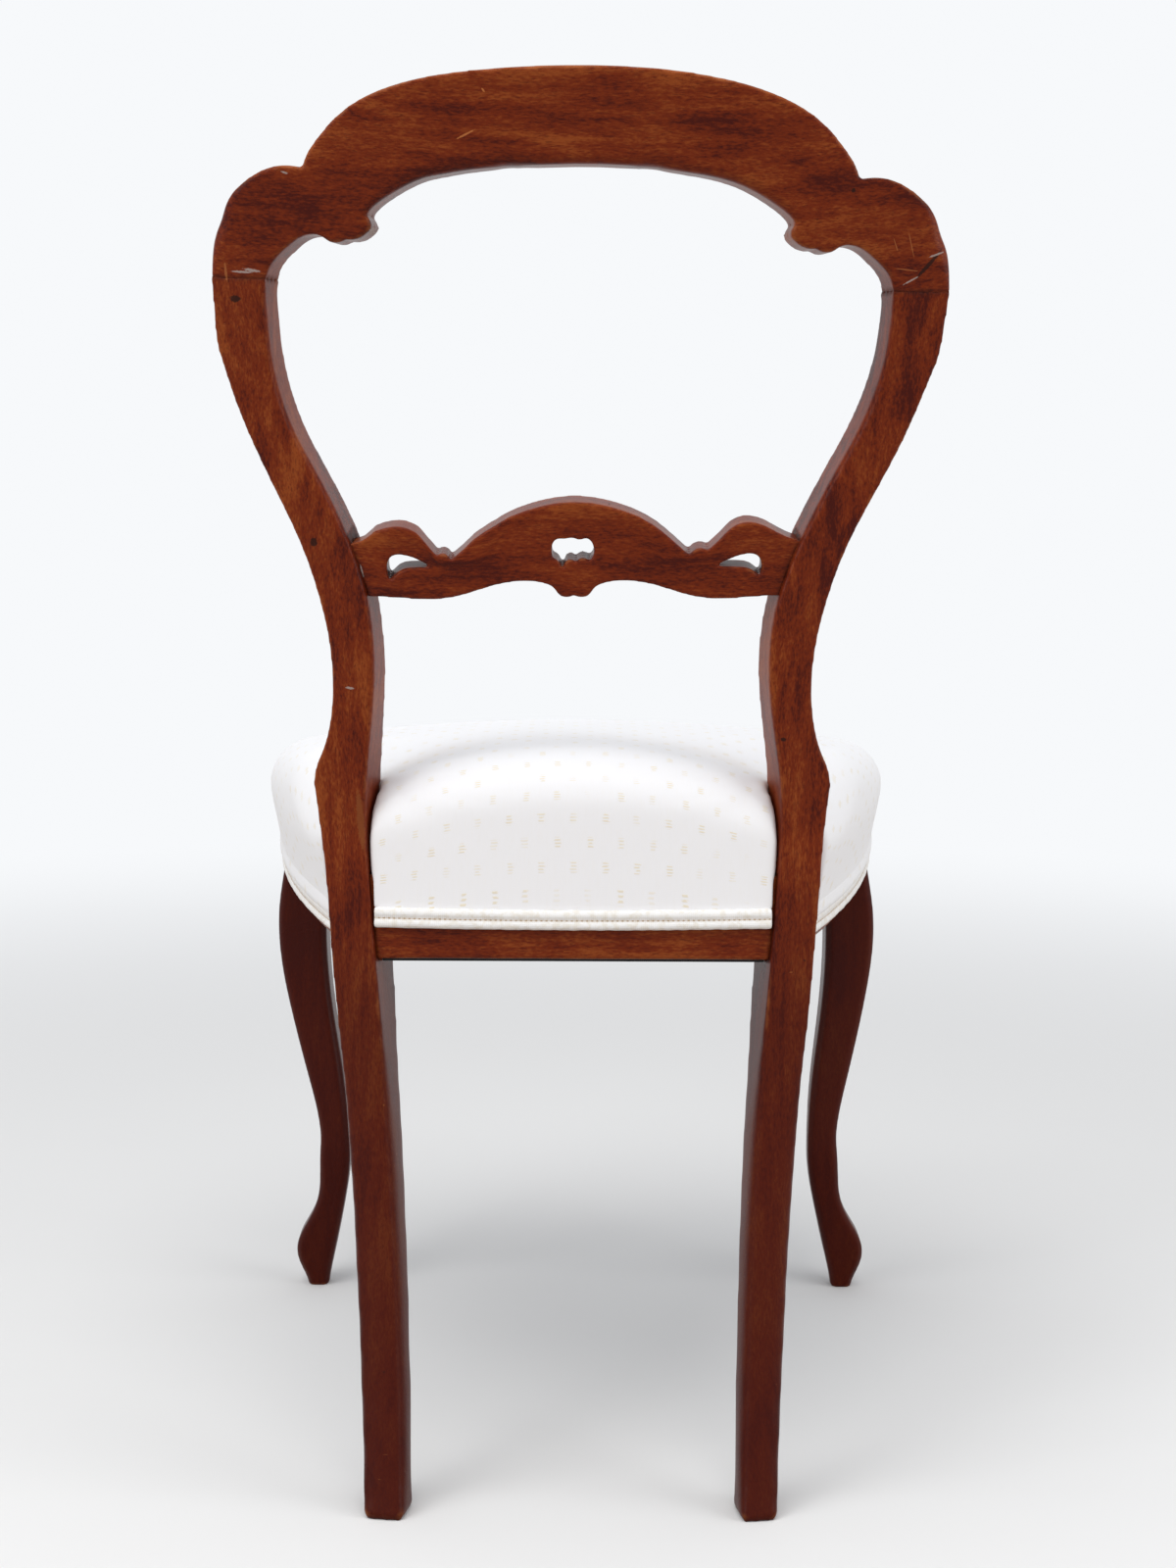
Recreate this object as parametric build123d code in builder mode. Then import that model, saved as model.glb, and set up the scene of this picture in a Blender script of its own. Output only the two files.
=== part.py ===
from build123d import *
import os
from math import cos, pi, radians, sin, sqrt

# A balloon back dining chair: shaped posts, a carved crest rail and mid rail, cabriole front legs
# and a sprung seat stuffed over its rails. Millimetres. +X is the sitter's left, -Y the front and
# +Z up. The origin is on the floor under the middle of the chair.

os.makedirs("parts", exist_ok=True)

# Heights above the floor
rail_bottom_z = 348
rail_height = 54
splay_end_z = 330  # the back legs start to sweep back below this
rake_start_z = 430  # the posts start to lean back above this
shoulder_z = 461  # ears of the posts beside the seat
mid_rail_z = 600
joint_z = 765  # the crest rail sits on the posts here
arch_rise = 122  # top of the arch above that joint

# Plan of the back
post_x = 142  # middle of each post at the seat
post_turn = 10  # the posts are turned in, so that the back is hollow to the sitter
back_rake = 59  # lean of each post over its height
foot_splay = 55  # sweep of each back foot

# Posts: widths are offsets from the post's middle line, depths are behind its front face
ear_out = 19.4
foot_inner = 44
foot_outer = 21
joint_outer = 65.4
joint_inner = 31.2
post_depth_top = 28
post_depth_waist = 31
post_depth_seat = 44
post_depth_foot = 26

# Crest and mid rail
crest_thick = 28
crest_depth = 53.8  # top to underside at the middle of the arch
# carved lobes inside each end of the arch: start, middle and end of each round, across and up
lobes = (
    ((148, 24.3), (141.3, 20.8), (134.6, 23)),
    ((134.6, 23), (126.2, 23.4), (119.6, 27)),
    ((119.6, 27), (116.4, 31.5), (119.9, 36)),
)
mid_thick = 22
mid_arch = 41  # top of its arch above the line of its piercings
mid_end_in = 14  # its ends meet the posts this far inside their middle line
mid_recess = 4  # its back face lies in front of the posts' back faces

# Seat frame
rail_thick = 24
rear_rail_thick = 22
rear_rail_recess = 2
front_bow = 16  # bow of the front rail over its length
leg_outer_x = 227
leg_block = 33
leg_set = 181  # the same leg profile, this much further forward than it is out
foot_z = 35  # widest height of the front foot
ankle_z = 120
leg_rebate = 7.5  # the leg's top is cut back by this for the covering
leg_corner = 4
side_start_x = 149  # outer face of a side rail where it meets its post
side_round = 1250  # radius of each side in plan
seat_corner_x = 222  # the rails' outer faces meet here, outside the legs' tops
seat_corner_r = 28

# Joinery
joint_gap = 0.1
wood_gap = 0.3  # blocks, cords and springs lie this clear of what they rest against
tenon_thick = 10
tenon_shoulder = 9  # the seat rails' tenons are this much shorter than the rails at top and bottom
tenon_root = 10  # a side rail's tenon runs this far back into it
side_tenon_long = 20
rear_tenon_in = 27  # a rear tenon starts this far inside its post's middle line
rear_tenon_long = 31
mid_tenon_in = 24
mid_tenon_long = 25
mid_tenon_high = 26
dowel_r = 4
dowel_long = 40
dowel_apart = 23
crest_dowel_r = 5
crest_dowel_long = 60
dowel_sides = 12
block_up = 20  # the corner blocks stand this far above the undersides of the rails
block_high = 24
block_front = 110  # reach of a front block along its rails, from the leg's outer corner
block_rear = 133

# Upholstery
soft_gap = 0.4  # soft pieces stay this clear of the wood
cloth_thick = 2.5
wadding_thick = 6  # of the cover with the wadding under it
stuffing_out = 15  # stuffing and cover stand this proud of the rails
seat_top_z = 478
seat_crown_back = 115  # the crown is highest this far in front of the posts' back faces
seat_crown_r = 1400
seat_edge_r = 35
seat_tuck_r = 9
seat_slope_in = 32  # the stuffing's sides slope in by this above the rails
cord_r = 3.25  # each of the two cords of the double piping
cord_sides = 8
piping_low_z = 355  # along the sides and front
piping_rear_low_z = 369
piping_half = 125.5  # half the length of the piping between the posts
web_width = 50
web_thick = 1.5
web_x = 70
web_rear = 132
web_front = 295
web_in = 18  # the straps end this far inside the rails' outer faces
lining_thick = 0.8
lining_in = 14
hessian_thick = 1.2
hessian_rise = 36
hessian_in = 22  # the pan's top is this much smaller all round than its foot
well_in = 9  # the pan starts this far inside the rails
wire_r = 1.7
wire_sides = 4
spring_base_r = 35
spring_waist_r = 21
spring_turns = 4

# Worked out from the sizes above
turn_sin, turn_cos = sin(radians(post_turn)), cos(radians(post_turn))
rail_top_z = rail_bottom_z + rail_height
rake_height = joint_z - rake_start_z
crest_lean = 1.5 * back_rake / rake_height * turn_cos  # slope of the posts at their tops
joint_mid = (joint_outer + joint_inner) / 2
joint_x = post_x + joint_mid * turn_cos + back_rake * turn_sin
joint_back = back_rake * turn_cos - joint_mid * turn_sin
crest_radius = joint_x / turn_sin
crest_hollow = crest_radius * (1 - turn_cos)
back_reach = joint_back + crest_hollow + crest_lean * arch_rise
leg_front = leg_outer_x - leg_rebate + leg_set
leg_rear = leg_outer_x - leg_block + leg_set
leg_face_x = leg_outer_x - leg_rebate
front_reach = leg_front + front_bow + stuffing_out  # to the posts' back faces, at seat height
rear_face_y = (front_reach - back_reach) / 2  # centres the chair's depth on the origin
joint_y = rear_face_y + joint_back


def rake(z):
    # how far the post's back face leans back at height z
    t = max(z - rake_start_z, 0) / rake_height
    return back_rake * (t + t * t) / 2


def between(low, high, share):
    return low + (high - low) * share


def board_x(out):
    # where a point of the post's face at the joint lies on the crest rail's pattern board
    x = post_x + out * turn_cos + back_rake * turn_sin
    back = back_rake * turn_cos - out * turn_sin
    return x / (1 + (back - joint_back) / crest_radius)


# The post's own frame: out is to the sitter's left, back is square to its back face
post_origin = (post_x, rear_face_y, 0)
post_out = (turn_cos, -turn_sin, 0)
post_back = (turn_sin, turn_cos, 0)
post_face = Plane(origin=post_origin, x_dir=post_out, z_dir=(-turn_sin, -turn_cos, 0))
post_side = Plane(origin=post_origin, x_dir=post_back, z_dir=post_out)

# Back post, sawn to its face template and then to its side template. With a clearance it is the
# room that the soft pieces leave for the post.
def post_board(grow=0):
    with BuildPart() as board:
        with BuildSketch(post_face):
            with BuildLine():
                back_z = [between(shoulder_z, joint_z, s) for s in (0.07, 0.2, 0.365, 0.52, 0.68, 0.835)]
                Spline(
                    (ear_out + grow, shoulder_z),
                    (12 + grow, back_z[0]),
                    (4 + grow, back_z[1]),
                    (9.3 + grow, back_z[2]),
                    (23.8 + grow, back_z[3]),
                    (44.3 + grow, back_z[4]),
                    (60 + grow, back_z[5]),
                    (joint_outer + grow, joint_z),
                    tangents=((-0.1, 1), (0, 1)),
                )
                Line((joint_outer + grow, joint_z), (joint_inner - grow, joint_z))
                inner_z = [between(shoulder_z, joint_z, s) for s in (0.9, 0.76, 0.63, 0.485, 0.365, 0.22, 0.07)]
                Spline(
                    (joint_inner - grow, joint_z),
                    (33.7 - grow, inner_z[0]),
                    (27.8 - grow, inner_z[1]),
                    (9.5 - grow, inner_z[2]),
                    (-10.5 - grow, inner_z[3]),
                    (-20.8 - grow, inner_z[4]),
                    (-22 - grow, inner_z[5]),
                    (-15.6 - grow, inner_z[6]),
                    (-12 - grow, shoulder_z - 14),
                    (-13.5 - grow, rail_top_z - 10),
                    (-17 - grow, rail_bottom_z),
                    (-23.5 - grow, splay_end_z - 60),
                    (-35 - grow, splay_end_z - 210),
                    (-foot_inner - grow, 0),
                )
                Line((-foot_inner - grow, 0), (-foot_outer + grow, 0))
                Spline(
                    (-foot_outer + grow, 0),
                    (-9.5 + grow, splay_end_z - 210),
                    (1.5 + grow, splay_end_z - 90),
                    (10 + grow, splay_end_z),
                    (15.9 + grow, rail_top_z + 18),
                    (ear_out + grow, shoulder_z),
                )
            make_face()
        extrude(amount=150, both=True)
        with BuildSketch(post_side):
            with BuildLine():
                TangentArc((grow, splay_end_z), (foot_splay + grow, 0), tangent=(0, -1))
                Line((grow, splay_end_z), (grow, rake_start_z))
                rake_z = [between(rake_start_z, joint_z, s) for s in (0, 0.25, 0.5, 0.75, 1)]
                Spline(
                    [(rake(z) + grow, z) for z in rake_z],
                    tangents=((back_rake / 2 / rake_height, 1), (1.5 * back_rake / rake_height, 1)),
                )
                Line((back_rake + grow, joint_z), (back_rake - post_depth_top - grow, joint_z))
                front_z = [between(rake_start_z, joint_z, s) for s in (1, 0.8, 0.57, 0.33, 0.13, 0)]
                front = post_depth_waist + grow
                Spline(
                    (back_rake - post_depth_top - grow, joint_z),
                    (rake(front_z[1]) - front, front_z[1]),
                    (rake(front_z[2]) - front - 2, front_z[2]),
                    (rake(front_z[3]) - front, front_z[3]),
                    (rake(front_z[4]) - post_depth_seat + 7 - grow, front_z[4]),
                    (-post_depth_seat - grow, rake_start_z),
                )
                Line((-post_depth_seat - grow, rake_start_z), (-post_depth_seat - grow, splay_end_z))
                ThreePointArc(
                    (-post_depth_seat - grow, splay_end_z),
                    (-24 - grow, between(0, splay_end_z, 0.58)),
                    (foot_splay - post_depth_foot - grow, 0),
                )
                Line((foot_splay - post_depth_foot - grow, 0), (foot_splay + grow, 0))
            make_face()
        extrude(amount=200, both=True, mode=Mode.INTERSECT)
    return board.part


post_blank = post_board()
post_room = post_board(soft_gap)

# Crest rail: a board with radial sides, cut to the hollow of the back and leaned with the posts
with BuildPart() as crest_blank:
    for reach in (crest_hollow + crest_lean * arch_rise + 10, -crest_thick - 10):
        widen = 1 + reach / crest_radius
        with BuildSketch(Plane.XZ.offset(-(joint_y + reach))):
            with BuildLine():
                outer_x = widen * board_x(joint_outer)
                inner_x = widen * board_x(joint_inner)
                arch = [(0, 0), (58, -2.6), (101, -11.4), (132, -27.5), (148, -43.5), (157.4, -59.5)]
                Spline(
                    [(widen * x, joint_z + arch_rise + drop) for x, drop in arch],
                    tangents=((1, 0), (0.3, -1)),
                )
                notch = (widen * 157.4, joint_z + arch_rise - 59.5)
                Spline(
                    notch,
                    (widen * 169, joint_z + 63.8),
                    (outer_x - widen * 18.5, joint_z + 47),
                    (outer_x - widen * 7.6, joint_z + 31),
                    (outer_x, joint_z),
                    tangents=((1, 0.3), (0, -1)),
                )
                Line((outer_x, joint_z), (inner_x, joint_z))
                Spline(
                    (inner_x, joint_z),
                    (inner_x - widen * 12, joint_z + 17.3),
                    (widen * 158.5, joint_z + 24.8),
                    (widen * 148, joint_z + 24.3),
                    tangents=((-0.15, 1), (-1, -0.45)),
                )
                for start, middle, end in lobes:
                    ThreePointArc(
                        *((widen * x, joint_z + height) for x, height in (start, middle, end))
                    )
                Spline(
                    (widen * 119.9, joint_z + 36),
                    (widen * 112.5, joint_z + 45),
                    (widen * 97.3, joint_z + 54.6),
                    (widen * 73, joint_z + 62.3),
                    (widen * 41.8, joint_z + 66.6),
                    (0, joint_z + arch_rise - crest_depth),
                    tangents=((-0.4, 1), (-1, 0)),
                )
                mirror(about=Plane.YZ)
            make_face()
    loft(ruled=True)
    with BuildSketch(Plane.XY.offset(joint_z)):
        with Locations((0, joint_y - crest_radius * turn_cos)):
            Circle(crest_radius)
            Circle(crest_radius - crest_thick, mode=Mode.SUBTRACT)
        with Locations((0, joint_y)):
            Rectangle(3 * joint_x, 6 * crest_thick, mode=Mode.INTERSECT)
    extrude(amount=2 * arch_rise, dir=(0, crest_lean, 1), mode=Mode.INTERSECT)

# Mid rail: a pierced board, sawn square to the rake of the posts and hollowed with the back
mid_rake = back_rake * (0.5 + (mid_rail_z - rake_start_z) / rake_height) / rake_height
mid_back = rake(mid_rail_z) * turn_cos + mid_end_in * turn_sin - mid_recess
mid_hollow = crest_radius - sqrt(crest_radius**2 - (post_x - mid_end_in) ** 2)
mid_origin = Vector(0, rear_face_y + mid_back + mid_hollow, mid_rail_z)
mid_up = Vector(0, mid_rake, 1).normalized()
mid_board = Plane(origin=mid_origin, x_dir=(1, 0, 0), z_dir=(0, -mid_up.Z, mid_up.Y))
with BuildPart() as mid_blank:
    with BuildSketch(mid_board):
        with BuildLine():
            Spline(
                (0, mid_arch),
                (20, mid_arch - 2.5),
                (47, mid_arch - 13.5),
                (70.5, 7.8),
                tangents=((1, 0), (1, -0.85)),
            )
            ThreePointArc((70.5, 7.8), (75.5, 12.2), (81.5, 10.6))
            Spline(
                (81.5, 10.6),
                (88, 17),
                (95, 24.3),
                (103.5, 28),
                (114, 26.4),
                (126, 20),
                (post_x, 12.5),
                tangents=((0.7, 1), (1, -0.42)),
            )
            Line((post_x, 12.5), (post_x, -20.3))
            Spline(
                (post_x, -20.3),
                (108, -20.7),
                (84, -21.3),
                (66, -17.9),
                (50, -12.7),
                (30, -9.8),
                (17, -11.8),
                tangents=((-1, 0), (-0.9, -0.45)),
            )
            ThreePointArc((17, -11.8), (12.6, -14.2), (10.6, -17))
            ThreePointArc((10.6, -17), (5.4, -20.3), (0, -18.8))
            mirror(about=Plane.YZ)
        make_face()
        for side in (-1, 1):
            # leaf piercing near each end
            with BuildLine():
                Spline(
                    (side * 82, -1.5),
                    (side * 95, 3.2),
                    (side * 105, 6.2),
                    (side * 112, 5),
                    (side * 114.5, -0.5),
                    (side * 113.5, -8),
                    tangents=((side, 0.2), (-0.35 * side, -1)),
                )
                Spline(
                    (side * 113.5, -8),
                    (side * 107, -3),
                    (side * 98, -1.8),
                    (side * 82, -1.5),
                    tangents=((-side, 1), (-side, 0)),
                )
            make_face(mode=Mode.SUBTRACT)
        # lobed piercing in the middle, cut by hand and not quite even
        with BuildLine():
            Spline(
                (-9, 2.3),
                (-11.7, 6.2),
                (-11.7, 11.3),
                (-9.9, 15.2),
                (-7.4, 16.7),
                (-3.7, 15.6),
                (2.1, 17.1),
                (5.6, 16.2),
                (9.8, 16.5),
                (13, 14),
                (13.8, 9.5),
                (12.9, 4.4),
                (8.4, -0.6),
                (5.8, 0.5),
                tangents=((-1, 1), (-0.3, 1)),
            )
            ThreePointArc((5.8, 0.5), (3.1, 3.4), (-1, 1))
            ThreePointArc((-1, 1), (-5.3, 4.4), (-9, 2.3))
        make_face(mode=Mode.SUBTRACT)
    extrude(amount=2 * mid_thick + mid_hollow, both=True)
    with BuildSketch(Plane(origin=mid_origin - mid_up * mid_arch, x_dir=(1, 0, 0), z_dir=mid_up)):
        with Locations((0, -crest_radius)):
            Circle(crest_radius)
            Circle(crest_radius - mid_thick, mode=Mode.SUBTRACT)
        Rectangle(3 * post_x, 6 * mid_thick, mode=Mode.INTERSECT)
    extrude(amount=2.5 * mid_arch, mode=Mode.INTERSECT)

def seat_plane(z):
    # plan of the seat, set out from the middle of the posts' back faces
    return Plane(origin=(0, rear_face_y, z))


# Centres of the rounds of the seat frame's front and of its left side
front_round = (seat_corner_x**2 + front_bow**2) / 2 / front_bow
front_middle = (0, front_round - leg_front - front_bow)
side_start, side_end = Vector(side_start_x, -post_depth_seat), Vector(seat_corner_x, -leg_front)
side_chord = side_end - side_start
side_inward = Vector(side_chord.Y, -side_chord.X).normalized()
side_reach = sqrt(side_round**2 - side_chord.length**2 / 4)
side_middle = (side_start + side_end) * 0.5 + side_inward * side_reach


def seat_plan(out=0):
    # plan of the outer faces of the seat's rails, or a line this far outside them
    with BuildSketch() as plan:
        with Locations(front_middle):
            Circle(front_round + out)
        for side in (-1, 1):
            with Locations((side * side_middle.X, side_middle.Y)):
                Circle(side_round + out, mode=Mode.INTERSECT)
        with Locations((0, out)):
            Rectangle(
                3 * leg_outer_x,
                2 * front_reach,
                align=(Align.CENTER, Align.MAX),
                mode=Mode.INTERSECT,
            )
        front_corners = plan.vertices().group_by(Axis.Y)[0]
        fillet(front_corners, radius=max(seat_corner_r + out, 1))
    return plan.sketch


# Front leg: a cabriole, square in section with rounded corners, that curves out and forward alike
leg_knee_z = between(0, rail_bottom_z, 0.816)
leg_stations = (
    # height, then the outer and the inner face, measured from the leg's outer face at the top
    (0, -10, -26.5),
    (foot_z - 15, -3.5, -30),
    (foot_z, -2.5, -33.5),
    (foot_z + 18, -10, -37.5),
    (ankle_z - 36, -22, -44),
    (ankle_z + 5, -24.5, -47.3),
    (between(ankle_z, leg_knee_z, 0.34), -15.5, -43.5),
    (between(ankle_z, leg_knee_z, 0.68), -2, -35.5),
    (leg_knee_z, 5.5, -32),
    (rail_bottom_z - 20, 2, -leg_block),
    (rail_bottom_z, -1, -leg_block),
)
with BuildPart() as leg_blank:
    for height, outer, inner in leg_stations:
        middle = leg_outer_x + (outer + inner) / 2
        station = Plane(origin=(middle, rear_face_y - middle - leg_set, height))
        with BuildSketch(station) as section:
            Rectangle(outer - inner, outer - inner)
            chamfer(section.vertices(), length=leg_corner)
    loft()
    with BuildSketch(seat_plane(rail_bottom_z)):
        with Locations((leg_outer_x - leg_block, -leg_rear)):
            Rectangle(leg_block, leg_block, align=(Align.MIN, Align.MAX))
        add(seat_plan(), mode=Mode.INTERSECT)
    extrude(amount=rail_height)


def mid_tenon(grow=0):
    # tongue on the left end of the mid rail
    middle = Vector(0, rear_face_y + mid_back - mid_thick / 2, mid_rail_z)
    with BuildPart() as tongue:
        with BuildSketch(Plane(origin=middle, x_dir=(1, 0, 0), z_dir=(0, -mid_up.Z, mid_up.Y))):
            with Locations((post_x - mid_tenon_in, -1)):
                Rectangle(
                    mid_tenon_long + 5 * grow,
                    mid_tenon_high + 2 * grow,
                    align=(Align.MIN, Align.CENTER),
                )
        extrude(amount=tenon_thick / 2 + grow, both=True)
    return tongue.part


def rail_tenon(x, forward, wide, deep, grow=0):
    # tongue of a seat rail, set out from its rear inner corner
    with BuildPart() as tongue:
        with BuildSketch(seat_plane(rail_bottom_z + tenon_shoulder - grow)):
            with Locations((x - grow, -forward + grow)):
                Rectangle(wide + 2 * grow, deep + 2 * grow, align=(Align.MIN, Align.MAX))
        extrude(amount=rail_height - 2 * tenon_shoulder + 2 * grow)
    return tongue.part


rear_tenon = (
    post_x - rear_tenon_in,
    rear_rail_recess + (rear_rail_thick - tenon_thick) / 2,
    rear_tenon_long,
    tenon_thick,
)
side_tenon = (
    side_start_x - (rail_thick + tenon_thick) / 2,
    post_depth_seat - side_tenon_long,
    tenon_thick,
    side_tenon_long + tenon_root,
)


def crest_dowel(grow=0):
    # from the left post up into the crest rail, in the middle of the joint
    step = crest_thick / 2
    with BuildPart() as pin:
        with BuildSketch(Plane.XY.offset(joint_z - crest_dowel_long / 2 - 5 * grow)):
            with Locations((joint_x - step * turn_sin, joint_y - step * turn_cos)):
                RegularPolygon(crest_dowel_r + grow, dowel_sides)
        extrude(amount=crest_dowel_long + 10 * grow)
    return pin.part


def leg_pins(grow=0):
    # two dowels from the left front leg into the side rail and two, between them, into the front
    low = rail_bottom_z + rail_height / 2 - 3 * dowel_apart / 4
    long = dowel_long + 10 * grow
    side_pin_x = leg_face_x - rail_thick / 2
    front_pin_y = rear_face_y - leg_front + rail_thick / 2
    with BuildPart() as pins:
        with BuildSketch(Plane.XZ.offset(leg_rear - rear_face_y - long / 2)):
            with Locations((side_pin_x, low), (side_pin_x, low + dowel_apart)):
                RegularPolygon(dowel_r + grow, dowel_sides)
        extrude(amount=long)
        with BuildSketch(Plane.YZ.offset(leg_outer_x - leg_block - long / 2)):
            with Locations(*((front_pin_y, low + up * dowel_apart) for up in (0.5, 1.5))):
                RegularPolygon(dowel_r + grow, dowel_sides)
        extrude(amount=long)
    return pins.part


room_pins = leg_pins(joint_gap)

with BuildPart() as back_post_left:
    add(post_blank)
    add(mid_tenon(joint_gap), mode=Mode.SUBTRACT)
    add(rail_tenon(*rear_tenon, joint_gap), mode=Mode.SUBTRACT)
    add(rail_tenon(*side_tenon, joint_gap), mode=Mode.SUBTRACT)
    add(crest_dowel(joint_gap), mode=Mode.SUBTRACT)

with BuildPart() as back_post_right:
    mirror(back_post_left.part, about=Plane.YZ)

with BuildPart() as crest_rail:
    add(crest_blank)
    add(crest_dowel(joint_gap), mode=Mode.SUBTRACT)
    mirror(crest_dowel(joint_gap), about=Plane.YZ, mode=Mode.SUBTRACT)

with BuildPart() as crest_dowels:
    add(crest_dowel())
    mirror(about=Plane.YZ)

with BuildPart() as mid_rail:
    add(mid_blank)
    add(post_blank, mode=Mode.SUBTRACT)
    mirror(post_blank, about=Plane.YZ, mode=Mode.SUBTRACT)
    add(mid_tenon())
    mirror(mid_tenon(), about=Plane.YZ)

with BuildPart() as rear_seat_rail:
    with BuildSketch(seat_plane(rail_bottom_z)):
        with Locations((0, -rear_rail_recess)):
            Rectangle(2 * post_x, rear_rail_thick, align=(Align.CENTER, Align.MAX))
    extrude(amount=rail_height)
    add(post_blank, mode=Mode.SUBTRACT)
    mirror(post_blank, about=Plane.YZ, mode=Mode.SUBTRACT)
    add(rail_tenon(*rear_tenon))
    mirror(rail_tenon(*rear_tenon), about=Plane.YZ)

with BuildPart() as side_rail_left:
    with BuildSketch(seat_plane(rail_bottom_z)):
        add(seat_plan())
        add(seat_plan(-rail_thick), mode=Mode.SUBTRACT)
        with Locations((side_start_x - 2 * rail_thick, -leg_rear)):
            Rectangle(
                leg_outer_x,
                leg_rear - post_depth_seat / 2,
                align=(Align.MIN, Align.MIN),
                mode=Mode.INTERSECT,
            )
    extrude(amount=rail_height)
    post_plan = Plane(origin=post_origin, x_dir=post_out, z_dir=(0, 0, 1))
    with BuildSketch(post_plan.offset(rail_bottom_z)):
        with Locations((0, -post_depth_seat)):
            Rectangle(4 * rail_height, 4 * rail_height, align=(Align.CENTER, Align.MIN))
    extrude(amount=rail_height, mode=Mode.SUBTRACT)
    add(rail_tenon(*side_tenon))
    add(room_pins, mode=Mode.SUBTRACT)

with BuildPart() as side_rail_right:
    mirror(side_rail_left.part, about=Plane.YZ)

with BuildPart() as front_seat_rail:
    with BuildSketch(seat_plane(rail_bottom_z)):
        add(seat_plan())
        add(seat_plan(-rail_thick), mode=Mode.SUBTRACT)
        with Locations((0, -leg_rear)):
            Rectangle(
                2 * (leg_outer_x - leg_block),
                2 * rail_height,
                align=(Align.CENTER, Align.MAX),
                mode=Mode.INTERSECT,
            )
    extrude(amount=rail_height)
    add(room_pins, mode=Mode.SUBTRACT)
    mirror(room_pins, about=Plane.YZ, mode=Mode.SUBTRACT)

with BuildPart() as front_leg_left:
    add(leg_blank)
    add(room_pins, mode=Mode.SUBTRACT)

with BuildPart() as front_leg_right:
    mirror(front_leg_left.part, about=Plane.YZ)

with BuildPart() as leg_dowels:
    add(leg_pins())
    mirror(about=Plane.YZ)

# Glued corner blocks inside the seat frame
with BuildPart() as corner_block_front_left:
    with BuildSketch(seat_plane(rail_bottom_z + block_up)):
        with BuildLine():
            Polyline(
                (leg_face_x, block_front - leg_front),
                (leg_face_x, -leg_front),
                (leg_face_x - block_front, -leg_front),
                close=True,
            )
        make_face()
        add(seat_plan(-rail_thick - wood_gap), mode=Mode.INTERSECT)
        with Locations((leg_outer_x - leg_block - wood_gap, -leg_rear + wood_gap)):
            Rectangle(leg_block, leg_block, align=(Align.MIN, Align.MAX), mode=Mode.SUBTRACT)
    extrude(amount=block_high)

with BuildPart() as corner_block_front_right:
    mirror(corner_block_front_left.part, about=Plane.YZ)

with BuildPart() as corner_block_rear_left:
    with BuildSketch(seat_plane(rail_bottom_z + block_up)):
        block_x = side_start_x + rail_thick / 2
        with BuildLine():
            Polyline((block_x - block_rear, 0), (block_x, 0), (block_x, -block_rear), close=True)
        make_face()
        add(seat_plan(-rail_thick - wood_gap), mode=Mode.INTERSECT)
    extrude(amount=block_high)
    add(post_room, mode=Mode.SUBTRACT)

with BuildPart() as corner_block_rear_right:
    mirror(corner_block_rear_left.part, about=Plane.YZ)

# Webbing under the rails: three straps each way
with BuildPart() as webbing_front_to_back:
    with BuildSketch(seat_plane(rail_bottom_z - web_thick)):
        with Locations((-web_x, 0), (0, 0), (web_x, 0)):
            Rectangle(web_width, 3 * front_reach)
        add(seat_plan(-web_in), mode=Mode.INTERSECT)
    extrude(amount=web_thick)

with BuildPart() as webbing_side_to_side:
    with BuildSketch(seat_plane(rail_bottom_z - 2 * web_thick)):
        with Locations(*((0, -f) for f in (web_rear, (web_rear + web_front) / 2, web_front))):
            Rectangle(3 * leg_outer_x, web_width)
        add(seat_plan(-web_in), mode=Mode.INTERSECT)
    extrude(amount=web_thick)

# Springs: five hourglass coils, each one wire bent round in arcs of part turns
spring_low = rail_bottom_z + wire_r + wood_gap
spring_high = rail_top_z + hessian_rise - hessian_thick - wire_r - wood_gap


def coil_point(turns):
    # a point of the wire's middle line, and the wire's direction there
    share = 2 * turns / spring_turns - 1
    angle = 2 * pi * turns
    radius = spring_waist_r + (spring_base_r - spring_waist_r) * share**2
    swell = 2 * (spring_base_r - spring_waist_r) * share / pi / spring_turns
    rise = (spring_high - spring_low) / spring_turns / 2 / pi
    point = Vector(
        radius * cos(angle),
        radius * sin(angle),
        between(spring_low, spring_high, turns / spring_turns),
    )
    way = Vector(
        swell * cos(angle) - radius * sin(angle), swell * sin(angle) + radius * cos(angle), rise
    )
    return point, way.normalized()


with BuildPart() as one_spring:
    with BuildLine():
        for step in range(round(2 * spring_turns)):
            start, start_way = coil_point(step / 2)
            end, end_way = coil_point((step + 1) / 2)
            span = end - start
            lean = span.dot(start_way + end_way)
            spread = 2 * (1 - start_way.dot(end_way))
            reach = (sqrt(lean * lean + spread * span.dot(span)) - lean) / spread
            middle = (start + end + (start_way - end_way) * reach) * 0.5
            TangentArc(start, middle, tangent=start_way)
            TangentArc(middle, end, tangent=span - (start_way + end_way) * reach)
    coil_start, coil_way = coil_point(0)
    with BuildSketch(Plane(origin=coil_start, z_dir=coil_way)):
        RegularPolygon(wire_r, wire_sides)
    sweep()

track = [coil_point(step / 24)[0] for step in range(round(24 * spring_turns) + 1)]
least_gap = min(
    (track[low] - track[high]).length - 2 * wire_r
    for low in range(len(track))
    for high in range(low + 12, len(track))
)
print("least gap between the coils of a spring, mm:", round(least_gap, 2))

spring_places = [(0, (web_rear + web_front) / 2)]
spring_places += [(x, forward) for x in (-web_x, web_x) for forward in (web_rear, web_front)]
seat_springs = Compound(
    [one_spring.part.moved(Location((x, rear_face_y - forward, 0))) for x, forward in spring_places]
)


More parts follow.
